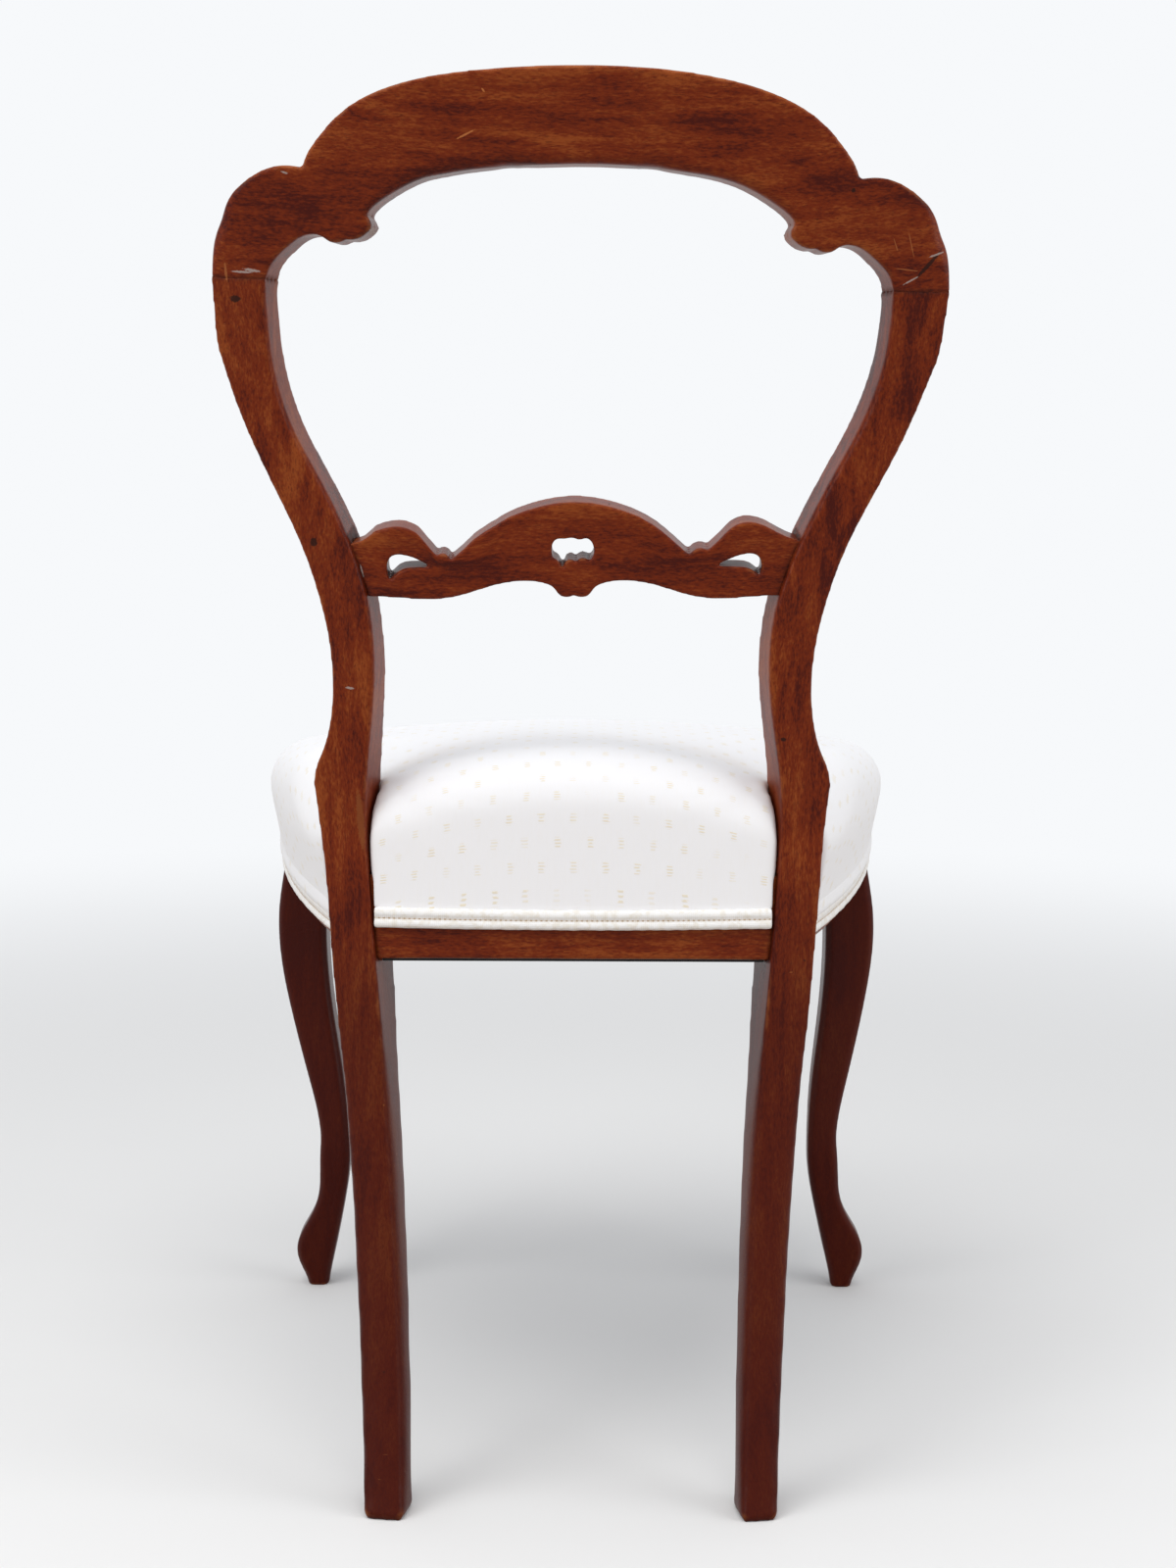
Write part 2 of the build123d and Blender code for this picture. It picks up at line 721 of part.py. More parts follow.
# Hessian over the springs: a raised pan with a flange on the rails
def spring_well(grow=0):
    with BuildPart() as pan:
        for inset, height in ((-grow, 0), (hessian_in - grow, hessian_rise + grow)):
            with BuildSketch(seat_plane(rail_top_z + height)):
                with BuildLine():
                    rear_half = side_start_x - rail_thick - well_in - inset
                    front_half = leg_outer_x - leg_block - well_in - inset
                    rear, front = rail_thick + well_in + inset, leg_rear - well_in - inset
                    Polyline(
                        (-rear_half, -rear),
                        (rear_half, -rear),
                        (front_half, -front),
                        (-front_half, -front),
                        close=True,
                    )
                make_face()
        loft(ruled=True)
    return pan.part


with BuildPart() as spring_hessian:
    with BuildSketch(seat_plane(rail_top_z)):
        add(seat_plan(-rail_thick / 3))
    extrude(amount=hessian_thick)
    add(spring_well())
    add(post_room, mode=Mode.SUBTRACT)
    mirror(post_room, about=Plane.YZ, mode=Mode.SUBTRACT)
    add(spring_well(-hessian_thick), mode=Mode.SUBTRACT)


# The stuffed seat: drawn in under its edge, crowned from back to front, with a rolled top edge
piping_top = 4 * cord_r + soft_gap


def seat_outline(inset):
    # its plan, this far inside the outer face of the cover
    with BuildSketch() as outline:
        add(seat_plan(stuffing_out - inset))
        with Locations((0, -rear_rail_recess + soft_gap + cloth_thick - inset)):
            Rectangle(
                3 * leg_outer_x,
                2 * front_reach,
                align=(Align.CENTER, Align.MAX),
                mode=Mode.INTERSECT,
            )
    return outline.sketch


def seat_crown(inset):
    # the ball that its top is part of
    with BuildPart() as crown:
        with Locations((0, rear_face_y - seat_crown_back, seat_top_z - seat_crown_r)):
            Sphere(seat_crown_r - inset)
    return crown.part


with BuildPart() as seat_form:
    with BuildSketch(seat_plane(piping_low_z + piping_top)) as rolled:
        add(seat_outline(0))
        fillet(rolled.vertices().group_by(Axis.Y)[-1], radius=seat_edge_r + 1)
    extrude(amount=seat_top_z)
    add(seat_crown(0), mode=Mode.INTERSECT)
    fillet(seat_form.faces().sort_by(Axis.Z)[-1].edges(), radius=seat_edge_r)
    fillet(seat_form.faces().sort_by(Axis.Z)[0].edges(), radius=seat_tuck_r)


def seat_core(inset):
    # the room inside the cover: upright beside the rails, then sloped in below the crown
    with BuildPart() as core:
        with BuildSketch(seat_plane(piping_low_z + piping_top + inset)):
            add(seat_outline(inset))
        extrude(amount=rail_top_z - piping_low_z - piping_top - inset)
        for slope_in, height in ((0, rail_top_z), (seat_slope_in, seat_top_z)):
            with BuildSketch(seat_plane(height)):
                add(seat_outline(inset + slope_in))
        loft(ruled=True)
        add(seat_crown(inset), mode=Mode.INTERSECT)
    return core.part


def frame_room(grow, low):
    # room taken by the seat frame, the posts and the covering's cut round the posts
    with BuildPart() as room:
        with BuildSketch(seat_plane(low)):
            add(seat_plan(grow))
            with Locations((0, -rear_rail_recess + grow)):
                Rectangle(
                    3 * leg_outer_x,
                    2 * front_reach,
                    align=(Align.CENTER, Align.MAX),
                    mode=Mode.INTERSECT,
                )
        extrude(amount=rail_top_z + grow - low)
        with BuildSketch(seat_plane(low)):
            for side in (-1, 1):
                with Locations((side * post_x, 0)):
                    Rectangle(
                        2 * leg_outer_x,
                        2 * post_depth_seat,
                        align=(Align.MIN if side > 0 else Align.MAX, Align.CENTER),
                    )
        extrude(amount=2 * rail_height + shoulder_z - low)
        add(post_room)
        mirror(post_room, about=Plane.YZ)
    return room.part


with BuildPart() as seat_cover:
    add(seat_form.part)
    add(seat_core(wadding_thick), mode=Mode.SUBTRACT)
    add(frame_room(soft_gap, rail_bottom_z), mode=Mode.SUBTRACT)
    with Locations((0, rear_face_y, piping_rear_low_z + piping_top)):
        Box(
            2 * leg_outer_x,
            post_depth_seat / 2,
            rail_height,
            align=(Align.CENTER, Align.CENTER, Align.MAX),
            mode=Mode.SUBTRACT,
        )

with BuildPart() as seat_stuffing:
    add(seat_core(wadding_thick + soft_gap))
    add(frame_room(soft_gap, rail_bottom_z), mode=Mode.SUBTRACT)
    add(spring_well(soft_gap), mode=Mode.SUBTRACT)
    with BuildSketch(seat_plane(rail_top_z)):
        add(seat_plan(soft_gap))
    extrude(amount=hessian_thick + soft_gap, mode=Mode.SUBTRACT)

# Double piping: two cords side by side over the edge of the cover
with BuildSketch(seat_plane(piping_low_z + cord_r)) as cord_plan:
    add(seat_plan(cord_r + wood_gap))
cord_edges = cord_plan.sketch.edges().filter_by(lambda e: e.center().Y < rear_face_y - 40)
cord_run = Wire(cord_edges.sort_by(Axis.X))
with BuildPart() as piping_front:
    for up in (0, 2 * cord_r):
        run = cord_run.moved(Location((0, 0, up)))
        with BuildSketch(Plane(origin=run @ 0, z_dir=run % 0)):
            RegularPolygon(cord_r, cord_sides)
        sweep(path=run)
    with Locations((0, rear_face_y, piping_low_z)):
        Box(2 * leg_outer_x, 2 * post_depth_seat, rail_height, mode=Mode.SUBTRACT)

with BuildPart() as piping_rear:
    with BuildSketch(Plane.YZ):
        for up in (cord_r, 3 * cord_r):
            with Locations((rear_face_y - rear_rail_recess + cord_r, piping_rear_low_z + up)):
                Circle(cord_r)
    extrude(amount=piping_half, both=True)

# Lining under the seat, hemmed up to the undersides of the rails
with BuildPart() as bottoming_cloth:
    with BuildSketch(seat_plane(rail_bottom_z - 2 * web_thick - lining_thick)):
        add(seat_plan(-lining_in))
    extrude(amount=lining_thick)
    with BuildSketch(seat_plane(rail_bottom_z - 2 * web_thick)):
        add(seat_plan(-lining_in))
        add(seat_plan(-(lining_in + web_in) / 2), mode=Mode.SUBTRACT)
    extrude(amount=2 * web_thick)
    for side in (-1, 1):
        with Locations((side * leg_outer_x, rear_face_y - leg_front, rail_bottom_z)):
            Box(2 * leg_block + 4, 2 * leg_block, rail_height, mode=Mode.SUBTRACT)
    add(post_room, mode=Mode.SUBTRACT)
    mirror(post_room, about=Plane.YZ, mode=Mode.SUBTRACT)

pieces = {
    "crest_rail": crest_rail,
    "mid_rail": mid_rail,
    "back_post_left": back_post_left,
    "back_post_right": back_post_right,
    "rear_seat_rail": rear_seat_rail,
    "front_seat_rail": front_seat_rail,
    "side_rail_left": side_rail_left,
    "side_rail_right": side_rail_right,
    "front_leg_left": front_leg_left,
    "front_leg_right": front_leg_right,
    "corner_block_front_left": corner_block_front_left,
    "corner_block_front_right": corner_block_front_right,
    "corner_block_rear_left": corner_block_rear_left,
    "corner_block_rear_right": corner_block_rear_right,
    "crest_dowels": crest_dowels,
    "leg_dowels": leg_dowels,
    "webbing_front_to_back": webbing_front_to_back,
    "webbing_side_to_side": webbing_side_to_side,
    "spring_hessian": spring_hessian,
    "seat_stuffing": seat_stuffing,
    "seat_cover": seat_cover,
    "piping_front": piping_front,
    "piping_rear": piping_rear,
    "bottoming_cloth": bottoming_cloth,
}
for name, piece in pieces.items():
    piece.part.label = name
    export_step(piece.part, f"parts/{name}.step")

seat_springs.label = "seat_springs"
export_step(seat_springs, "parts/seat_springs.step")
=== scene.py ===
import math

import bpy
import numpy as np
from mathutils import Matrix, Vector
from mathutils.bvhtree import BVHTree


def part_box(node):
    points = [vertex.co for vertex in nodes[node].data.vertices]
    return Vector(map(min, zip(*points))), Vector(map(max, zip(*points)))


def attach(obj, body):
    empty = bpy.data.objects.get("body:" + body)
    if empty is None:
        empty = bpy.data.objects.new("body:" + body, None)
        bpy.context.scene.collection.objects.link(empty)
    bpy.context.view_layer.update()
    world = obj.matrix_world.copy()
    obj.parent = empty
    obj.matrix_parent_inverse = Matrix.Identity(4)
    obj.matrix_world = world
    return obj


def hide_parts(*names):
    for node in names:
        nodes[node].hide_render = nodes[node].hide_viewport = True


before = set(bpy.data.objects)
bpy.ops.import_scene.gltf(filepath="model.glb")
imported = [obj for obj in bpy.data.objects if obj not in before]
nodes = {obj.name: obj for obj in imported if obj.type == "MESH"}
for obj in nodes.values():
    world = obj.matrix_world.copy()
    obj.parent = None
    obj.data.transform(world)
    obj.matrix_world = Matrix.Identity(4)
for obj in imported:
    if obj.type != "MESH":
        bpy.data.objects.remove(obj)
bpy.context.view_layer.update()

backFace = 0.16628  # Y of the posts' back faces at the seat, which many places are measured from


cameraSettings = {
    "place": (-0.009, backFace + 1.6048, 0.694),
    "pitch": 8.27,  # degrees down
    "roll": 0.24,
    "lens": 59.4,
    "sensor": 36,
    "nearest": 0.01,
}


def addObject(title, data):
    thing = bpy.data.objects.new(title, data)
    bpy.context.scene.collection.objects.link(thing)
    return thing


def makeCamera(settings):
    data = bpy.data.cameras.new("camera")
    data.sensor_fit = "VERTICAL"
    data.sensor_height = data.sensor_width = settings["sensor"]
    data.lens = settings["lens"]
    data.clip_start = settings["nearest"]
    camera = addObject("camera", data)
    # a new camera looks straight down, so it is turned to look along -Y, and then rolled
    facing = Matrix.Rotation(math.pi, 4, "Z")
    lifted = Matrix.Rotation(math.radians(90 - settings["pitch"]), 4, "X")
    rolled = Matrix.Rotation(math.radians(settings["roll"]), 4, "Z")
    camera.matrix_world = Matrix.Translation(settings["place"]) @ facing @ lifted @ rolled
    bpy.context.scene.camera = camera


lightSettings = {
    # name: place, aimed at, width, height, watts, colour
    "overhead": ((0.3, 0.9, 2.6), (0, 0, 0.5), 2.2, 1.6, 31, (1.0, 0.99, 0.97)),
    "roomSide": ((1.9, 1.5, 1.5), (0, 0.1, 0.5), 1.6, 1.8, 23, (0.97, 0.985, 1.0)),
    "rightFill": ((-2.0, 0.9, 1.1), (0, 0.1, 0.5), 1.4, 1.6, 17, (0.98, 0.99, 1.0)),
}


def makeLight(name, place, aim, width, height, watts, colour):
    data = bpy.data.lights.new(name, "AREA")
    data.shape = "RECTANGLE"
    data.size, data.size_y = width, height
    data.energy = watts
    data.color = colour
    light = addObject(name, data)
    light.location = place
    light.rotation_euler = (Vector(aim) - Vector(place)).to_track_quat("-Z", "Y").to_euler()


worldLook = {
    "seen": (0.93, 0.945, 0.965, 1),  # the white room, as the camera and the polish see it
    "fill": (0.93, 0.96, 1.0, 1),  # and the light that it gives
    "fillStrength": 0.62,
}


def makeWorld(look):
    world = bpy.data.worlds.new("room")
    bpy.context.scene.world = world
    world.use_nodes = True
    tree = world.node_tree
    tree.nodes.clear()
    seen = put(tree, "Background", {"Color": look["seen"], "Strength": 1.0})
    fill = put(tree, "Background", {"Color": look["fill"], "Strength": look["fillStrength"]})
    mix = put(tree, "MixShader", {0: seenRays(tree), 1: fill.outputs[0], 2: seen.outputs[0]})
    put(tree, "OutputWorld", {"Surface": mix.outputs[0]})


def link(source, target):
    source.id_data.links.new(source, target)  # the tree that the socket is in


def put(tree, kind, inputs=None, **properties):
    # a new node, with each input linked to a socket or set to a value
    node = tree.nodes.new("ShaderNode" + kind)
    for key, value in properties.items():
        setattr(node, key, value)
    for key, value in (inputs or {}).items():
        if hasattr(value, "links"):
            link(value, node.inputs[key])
        else:
            node.inputs[key].default_value = value
    return node


def maths(operation, first, second=0.0, clamp=False):
    inputs = {0: first, 1: second}
    return put(first.id_data, "Math", inputs, operation=operation, use_clamp=clamp).outputs[0]


def plus(first, second):
    return maths("ADD", first, second)


def minus(first, second):
    return maths("SUBTRACT", first, second)


def times(first, second):
    return maths("MULTIPLY", first, second)


def seenRays(tree):
    # 1 for the camera's rays and for those that polish or glass sends on
    path = put(tree, "LightPath").outputs
    seen = maths("MAXIMUM", path["Is Camera Ray"], path["Is Glossy Ray"])
    return maths("MAXIMUM", seen, path["Is Transmission Ray"])


def ramp(value, low, high):
    # 0 at low and 1 at high, eased between
    inputs = {"Value": value, "From Min": low, "From Max": high}
    node = put(value.id_data, "MapRange", inputs, interpolation_type="SMOOTHSTEP")
    return node.outputs["Result"]


def blend(amount, first, second):
    # colours; the Mix node has its colour sockets at 6, 7 and 2
    inputs = {0: amount, 6: first, 7: second}
    return put(amount.id_data, "Mix", inputs, data_type="RGBA").outputs[2]


def noise(vector, scale, detail=3.0, roughness=0.5, distortion=0.0):
    values = {"Vector": vector, "Scale": scale, "Detail": detail}
    values.update({"Roughness": roughness, "Distortion": distortion})
    return put(vector.id_data, "TexNoise", values).outputs["Fac"]


def spots(vector, character, span):
    # a noise, with what lies between two of its values spread over 0 to 1
    return ramp(noise(vector, *character), *span)


def stretch(vector, factors, shift=(0, 0, 0)):
    inputs = {"Vector": vector, "Scale": factors, "Location": shift}
    return put(vector.id_data, "Mapping", inputs).outputs[0]


def newGroup(name, vectors, numbers, outputs):
    group = bpy.data.node_groups.new(name, "ShaderNodeTree")
    sockets = [(title, "INPUT", "NodeSocketVector") for title in vectors]
    sockets += [(title, "INPUT", "NodeSocketFloat") for title in numbers]
    sockets += [(title, "OUTPUT", "NodeSocketFloat") for title in outputs]
    for title, way, kind in sockets:
        group.interface.new_socket(title, in_out=way, socket_type=kind)
    source = group.nodes.new("NodeGroupInput")
    sink = group.nodes.new("NodeGroupOutput")
    return group, source.outputs, sink.inputs


def useGroup(tree, group, inputs):
    return put(tree, "Group", inputs, node_tree=group).outputs


def field(tree, name, output="Fac"):
    # a value that the mesh carries at each point
    return put(tree, "Attribute", attribute_name=name).outputs[output]


def objectPlace(tree):
    return put(tree, "TexCoord").outputs["Object"]


def addBump(skin, height, strength, distance):
    inputs = {"Height": height, "Strength": strength, "Distance": distance}
    link(put(height.id_data, "Bump", inputs).outputs["Normal"], skin["Normal"])


def newMaterial(name, values):
    # the values are for the shader's own sockets, where they are the same all over
    material = bpy.data.materials.new(name)
    material.use_nodes = True
    tree = material.node_tree
    skin = tree.nodes["Principled BSDF"].inputs
    for title, value in values.items():
        skin[title].default_value = value
    return material, tree, skin


grainLook = {
    # stretch along the grain, then detail, roughness and distortion
    "Patch": (0.5, 4.0, 0.55, 0.7),
    "Ribbon": (0.08, 3.0, 0.55, 0.5),
    # stretch, then the noise's scale and detail, and its range or roughness
    "pore": (0.13, (1500.0, 1.0), (0.57, 0.7)),
    "fleck": (0.3, (820.0, 2.0, 0.6)),
    "fleckShift": (3.1, 0.7, 0.2),
}


def makeGrainGroup(look):
    # timber figure along X of the grain vector: broad patches, ribbons, short flecks and pores
    sizes, effects = ["Patch Size", "Ribbon Size"], ["Patch", "Ribbon", "Pore", "Fleck"]
    tree, given, out = newGroup("timberGrain", ["Grain"], sizes, effects)
    for title in ("Patch", "Ribbon"):
        along, *character = look[title]
        drawn = stretch(given["Grain"], (along, 1, 1))
        link(noise(drawn, given[title + " Size"], *character), out[title])
    along, *character = look["pore"]
    place = stretch(given["Grain"], (along, 1, 1))
    link(spots(place, *character), out["Pore"])
    along, character = look["fleck"]
    place = stretch(given["Grain"], (along, 1, 1), look["fleckShift"])
    link(noise(place, *character), out["Fleck"])
    return tree


wearLook = {
    # noises have their scale, detail and roughness, and ranges run from 0 to full
    "rough": (60.0, 5.0, 0.65),
    "patchy": 1.1,
    "worn": ((0.002, 0.01), (0.45, 1.05)),  # how far from a joint, and the range
    "corner": (0.3, (0.45, 1.0), 0.7),  # how patchy, the range, and its share of the grime
    "seam": (0.004, (0.003, 0.0), 0.6),
    "line": ((0.0005, 0.0001), (210.0, 3.0), (0.36, 0.56)),
    "scratchTurn": {"Rotation": (0.5, 0.3, 0.7), "Scale": (1, 14, 14)},
    "scratch": ((26.0, 2.0, 0.5), (0.73, 0.76)),
    "scratchPlaces": ((13.0, 2.0), (0.6, 0.68)),
    "dent": (95.0, (0.09, 0.05)),
    "dentPlaces": ((31.0,), (0.64, 0.68)),
}


def makeWearGroup(look):
    # rubbed arrises, grime in the corners and along the joints, scratches and small dents
    effects = ["Worn", "Grime", "Joint Line", "Scratch", "Dent"]
    tree, given, out = newGroup("handWear", ["Place"], ["Edge", "Seam"], effects)
    edge, seam, place = given["Edge"], given["Seam"], given["Place"]
    rough = noise(place, *look["rough"])
    patchy = times(minus(rough, 0.5), look["patchy"])
    clear, span = look["worn"]
    rubbed = plus(times(edge, ramp(seam, *clear)), patchy)
    link(ramp(rubbed, *span), out["Worn"])

    amount, span, share = look["corner"]
    hollow = plus(times(edge, -1.0), times(rough, amount))
    corner = times(ramp(hollow, *span), share)
    amount, span, share = look["seam"]
    uneven = plus(seam, times(patchy, amount))
    near = times(ramp(uneven, *span), share)
    link(maths("MAXIMUM", corner, near), out["Grime"])

    thin, *breaks = look["line"]
    link(times(ramp(seam, *thin), spots(place, *breaks)), out["Joint Line"])
    turned = put(tree, "Mapping", {"Vector": place, **look["scratchTurn"]}).outputs[0]
    marks = times(spots(turned, *look["scratch"]), spots(place, *look["scratchPlaces"]))
    link(marks, out["Scratch"])
    scale, span = look["dent"]
    pits = put(tree, "TexVoronoi", {"Vector": place, "Scale": scale}, feature="F1")
    pit = ramp(pits.outputs["Distance"], *span)
    link(times(pit, spots(place, *look["dentPlaces"])), out["Dent"])
    return tree


def makeMarkGroup():
    # one elongated mark on a surface that faces back or front, turned about Y
    vectors = ["Place", "Centre", "Half Sizes"]
    tree, given, out = newGroup("singleMark", vectors, ["Turn"], ["Mask"])
    apart = put(tree, "VectorMath", {0: given["Place"], 1: given["Centre"]}, operation="SUBTRACT")
    around = {"Vector": apart.outputs[0], "Axis": (0, 1, 0), "Angle": given["Turn"]}
    turned = put(tree, "VectorRotate", around, rotation_type="AXIS_ANGLE").outputs[0]
    shares = put(tree, "VectorMath", {0: turned, 1: given["Half Sizes"]}, operation="DIVIDE")
    reach = put(tree, "VectorMath", {0: shares.outputs[0]}, operation="LENGTH").outputs["Value"]
    ragged = times(minus(noise(given["Place"], 900.0, 2.0), 0.5), 0.9)
    link(ramp(plus(reach, ragged), 1.1, 0.75), out["Mask"])
    return tree


def makeWeaveGroup():
    # plain woven threads in the cloth's own coordinates, in metres
    tree, given, out = newGroup("wovenThreads", ["Cloth"], ["Threads"], ["Height", "Shade"])
    cloth = given["Cloth"]
    split = put(tree, "SeparateXYZ", {0: cloth})
    wobble = noise(cloth, 120.0, 2.0)
    raised = []
    for axis, sway, height in ((0, 3.0, 0.5), (1, 2.0, 0.35)):
        turns = times(split.outputs[axis], given["Threads"])
        raised.append(times(maths("SINE", plus(turns, times(wobble, sway))), height))
    link(plus(*raised), out["Height"])
    link(noise(stretch(cloth, (1, 0.15, 1)), 700.0, 3.0, 0.6), out["Shade"])
    return tree


grainGroup = makeGrainGroup(grainLook)
wearGroup = makeWearGroup(wearLook)
markGroup = makeMarkGroup()
weaveGroup = makeWeaveGroup()


mahoganyLook = {
    "dark": (0.058, 0.0062, 0.003, 1),
    "mid": (0.152, 0.02, 0.0042, 1),
    "light": (0.25, 0.055, 0.0115, 1),
    "deep": (0.046, 0.0044, 0.0019, 1),  # painted shade on the legs and on the rails under the seat
    "bare": (0.44, 0.15, 0.045, 1),
    "grime": (0.014, 0.006, 0.0045, 1),
    "filler": (0.34, 0.27, 0.245, 1),
    "scratch": (0.29, 0.092, 0.029, 1),
    "rubbed": (0.2, 0.055, 0.016, 1),
    "patchSize": 17.0,
    "ribbonSize": 170.0,
    "figure": {"Patch": 0.52, "Ribbon": 0.3, "Fleck": 0.3},  # their shares in the tone
    "toneDrop": 0.06,
    "darkToMid": (0.38, 0.51),
    "midToLight": (0.49, 0.64),
    "poreShare": 0.55,
    # how much of each kind of wear shows, and in which colour
    "wear": [("Worn", 0.42, "bare"), ("Grime", 0.75, "grime"), ("Scratch", 0.5, "bare")]
    + [("Dent", 0.6, "grime"), ("Joint Line", 0.65, "grime")],
    "markShare": 0.85,
    "roughness": 0.3,
    "unevenPolish": 0.22,
    "dullGrime": 0.3,
    "dullMark": 0.3,
    "depths": {"Fleck": 0.22, "Pore": 0.3, "Scratch": 0.7, "Joint Line": 1.2},
    "bump": (0.3, 0.0003),  # strength and distance
    "skin": {"Specular IOR Level": 0.09},
    "markDepth": {"rubbed": 0.02},  # half of it; 0.012 where none is named
    # place, turn, half width and half height of the marks that the back shows, and their kinds
    "marks": [
        (0.1964, 0.218, 0.7726, 0.06, 0.0062, 0.0007, "filler"),
        (0.1906, 0.218, 0.7735, 0.16, 0.0052, 0.0009, "filler"),
        (0.2062, 0.216, 0.7725, 1.5, 0.0062, 0.0008, "scratch"),
        (0.2013, 0.213, 0.7571, 0.0, 0.0032, 0.0022, "grime"),
        (-0.2085, 0.219, 0.7785, -0.85, 0.011, 0.0012, "grime"),
        (-0.213, 0.219, 0.7842, -0.35, 0.005, 0.0006, "filler"),
        (-0.198, 0.219, 0.769, -0.5, 0.005, 0.0005, "filler"),
        (-0.188, 0.226, 0.7892, 1.2, 0.004, 0.00035, "scratch"),
        (-0.1973, 0.224, 0.7894, 1.3, 0.008, 0.00035, "scratch"),
        (-0.1952, 0.221, 0.7752, 0.1, 0.0075, 0.00035, "scratch"),
        (0.0626, 0.253, 0.8486, -0.45, 0.0062, 0.0006, "bare"),
        (0.1685, 0.237, 0.8283, 0.3, 0.0024, 0.0006, "filler"),
        (0.0522, 0.26, 0.8724, 0.9, 0.0014, 0.0006, "bare"),
        (-0.1615, 0.237, 0.8196, 0.0, 0.0012, 0.0014, "grime"),
        (0.159, 0.188, 0.6124, 0.0, 0.0024, 0.0028, "grime"),
        (-0.0213, 0.2, 0.6374, 0.0, 0.0017, 0.0017, "grime"),
        (0.119, 0.22, 0.7962, 0.0, 0.0022, 0.003, "filler"),
        (0.1387, 0.177, 0.5218, 0.1, 0.003, 0.0008, "filler"),
        (0.1335, 0.168, 0.4375, 1.5, 0.02, 0.0024, "rubbed"),
        (0.1298, 0.188, 0.5945, 1.34, 0.0045, 0.0005, "filler"),
        (-0.1305, 0.172, 0.4905, 0.0, 0.0019, 0.0014, "grime"),
    ],
}


def makeMahogany(look):
    material, tree, skin = newMaterial("mahogany", look["skin"])
    grain = field(tree, "grainPlace", "Vector")
    edge, seam = field(tree, "edgeBend"), field(tree, "seamGap")
    shade, underSeatShade = field(tree, "toneShift"), field(tree, "shadeUnderSeat")
    place = objectPlace(tree)
    sizes = {"Patch Size": look["patchSize"], "Ribbon Size": look["ribbonSize"]}
    wood = useGroup(tree, grainGroup, {"Grain": grain, **sizes})
    wear = useGroup(tree, wearGroup, {"Edge": edge, "Seam": seam, "Place": place})

    patches, ribbons, flecks = (times(wood[key], v) for key, v in look["figure"].items())
    tone = plus(plus(patches, ribbons), flecks)
    tone = plus(minus(tone, look["toneDrop"]), shade)
    colour = blend(ramp(tone, *look["darkToMid"]), look["dark"], look["mid"])
    colour = blend(ramp(tone, *look["midToLight"]), colour, look["light"])
    colour = blend(times(wood["Pore"], look["poreShare"]), colour, look["dark"])
    # painted shade under the seat, over the wood's own colour
    colour = blend(underSeatShade, colour, look["deep"])
    for title, share, kind in look["wear"]:
        colour = blend(times(wear[title], share), colour, look[kind])
    raised = None
    for *centre, turn, halfWidth, halfHeight, kind in look["marks"]:
        halfSizes = (halfWidth, look["markDepth"].get(kind, 0.012), halfHeight)
        inputs = {"Place": place, "Centre": centre, "Turn": turn, "Half Sizes": halfSizes}
        mask = useGroup(tree, markGroup, inputs)["Mask"]
        colour = blend(times(mask, look["markShare"]), colour, look[kind])
        raised = mask if raised is None else maths("MAXIMUM", raised, mask)
    link(colour, skin["Base Color"])

    uneven = times(minus(wood["Patch"], 0.5), look["unevenPolish"])
    rough = plus(uneven, look["roughness"])
    rough = plus(rough, times(wear["Grime"], look["dullGrime"]))
    rough = plus(rough, times(raised, look["dullMark"]))
    link(rough, skin["Roughness"])
    depths = look["depths"]
    height = times(wood["Fleck"], depths["Fleck"])
    for source, title in ((wood, "Pore"), (wear, "Scratch"), (wear, "Joint Line")):
        height = minus(height, times(source[title], depths[title]))
    addBump(skin, height, *look["bump"])
    return material


damaskLook = {
    "ground": (0.868, 0.864, 0.878, 1),
    "dash": (0.8, 0.725, 0.575, 1),
    # painted shade beside the posts and in the hollow behind the rolled edge
    "paintedShade": (0.56, 0.42, 0.29, 1),
    "columnGap": 0.02,  # metres between like columns; the ones between are half a row off
    "rowGap": 0.0292,
    "threads": 9000.0,
    "jitter": 0.0016,  # metres that a mark may stand aside of its place
    "ragged": ((0.4, 1, 1), (800.0, 2.0), 0.005),  # stretch, scale and detail, and reach
    "halfWidth": (0.0023, 0.0011),
    "halfLength": (0.0038, 0.0025),
    "slubs": (3300.0, (-0.35, 0.5)),
    "fade": ((42.0, 2.0), 0.3, (0.35, 0.75)),  # scale and detail, share of chance, and range
    "dashShare": 0.95,
    "threadTone": (0.45, 0.22),  # the shade that a thread shows from, and how strongly
    "roughness": (0.3, 0.44),  # what a mark adds to the cloth's
    "depths": (0.12, 0.7),  # of the weave and of the marks
    "bump": (0.35, 0.0003),
    "skin": {"Sheen Weight": 0.1, "Sheen Roughness": 0.4, "Specular IOR Level": 0.15},
}


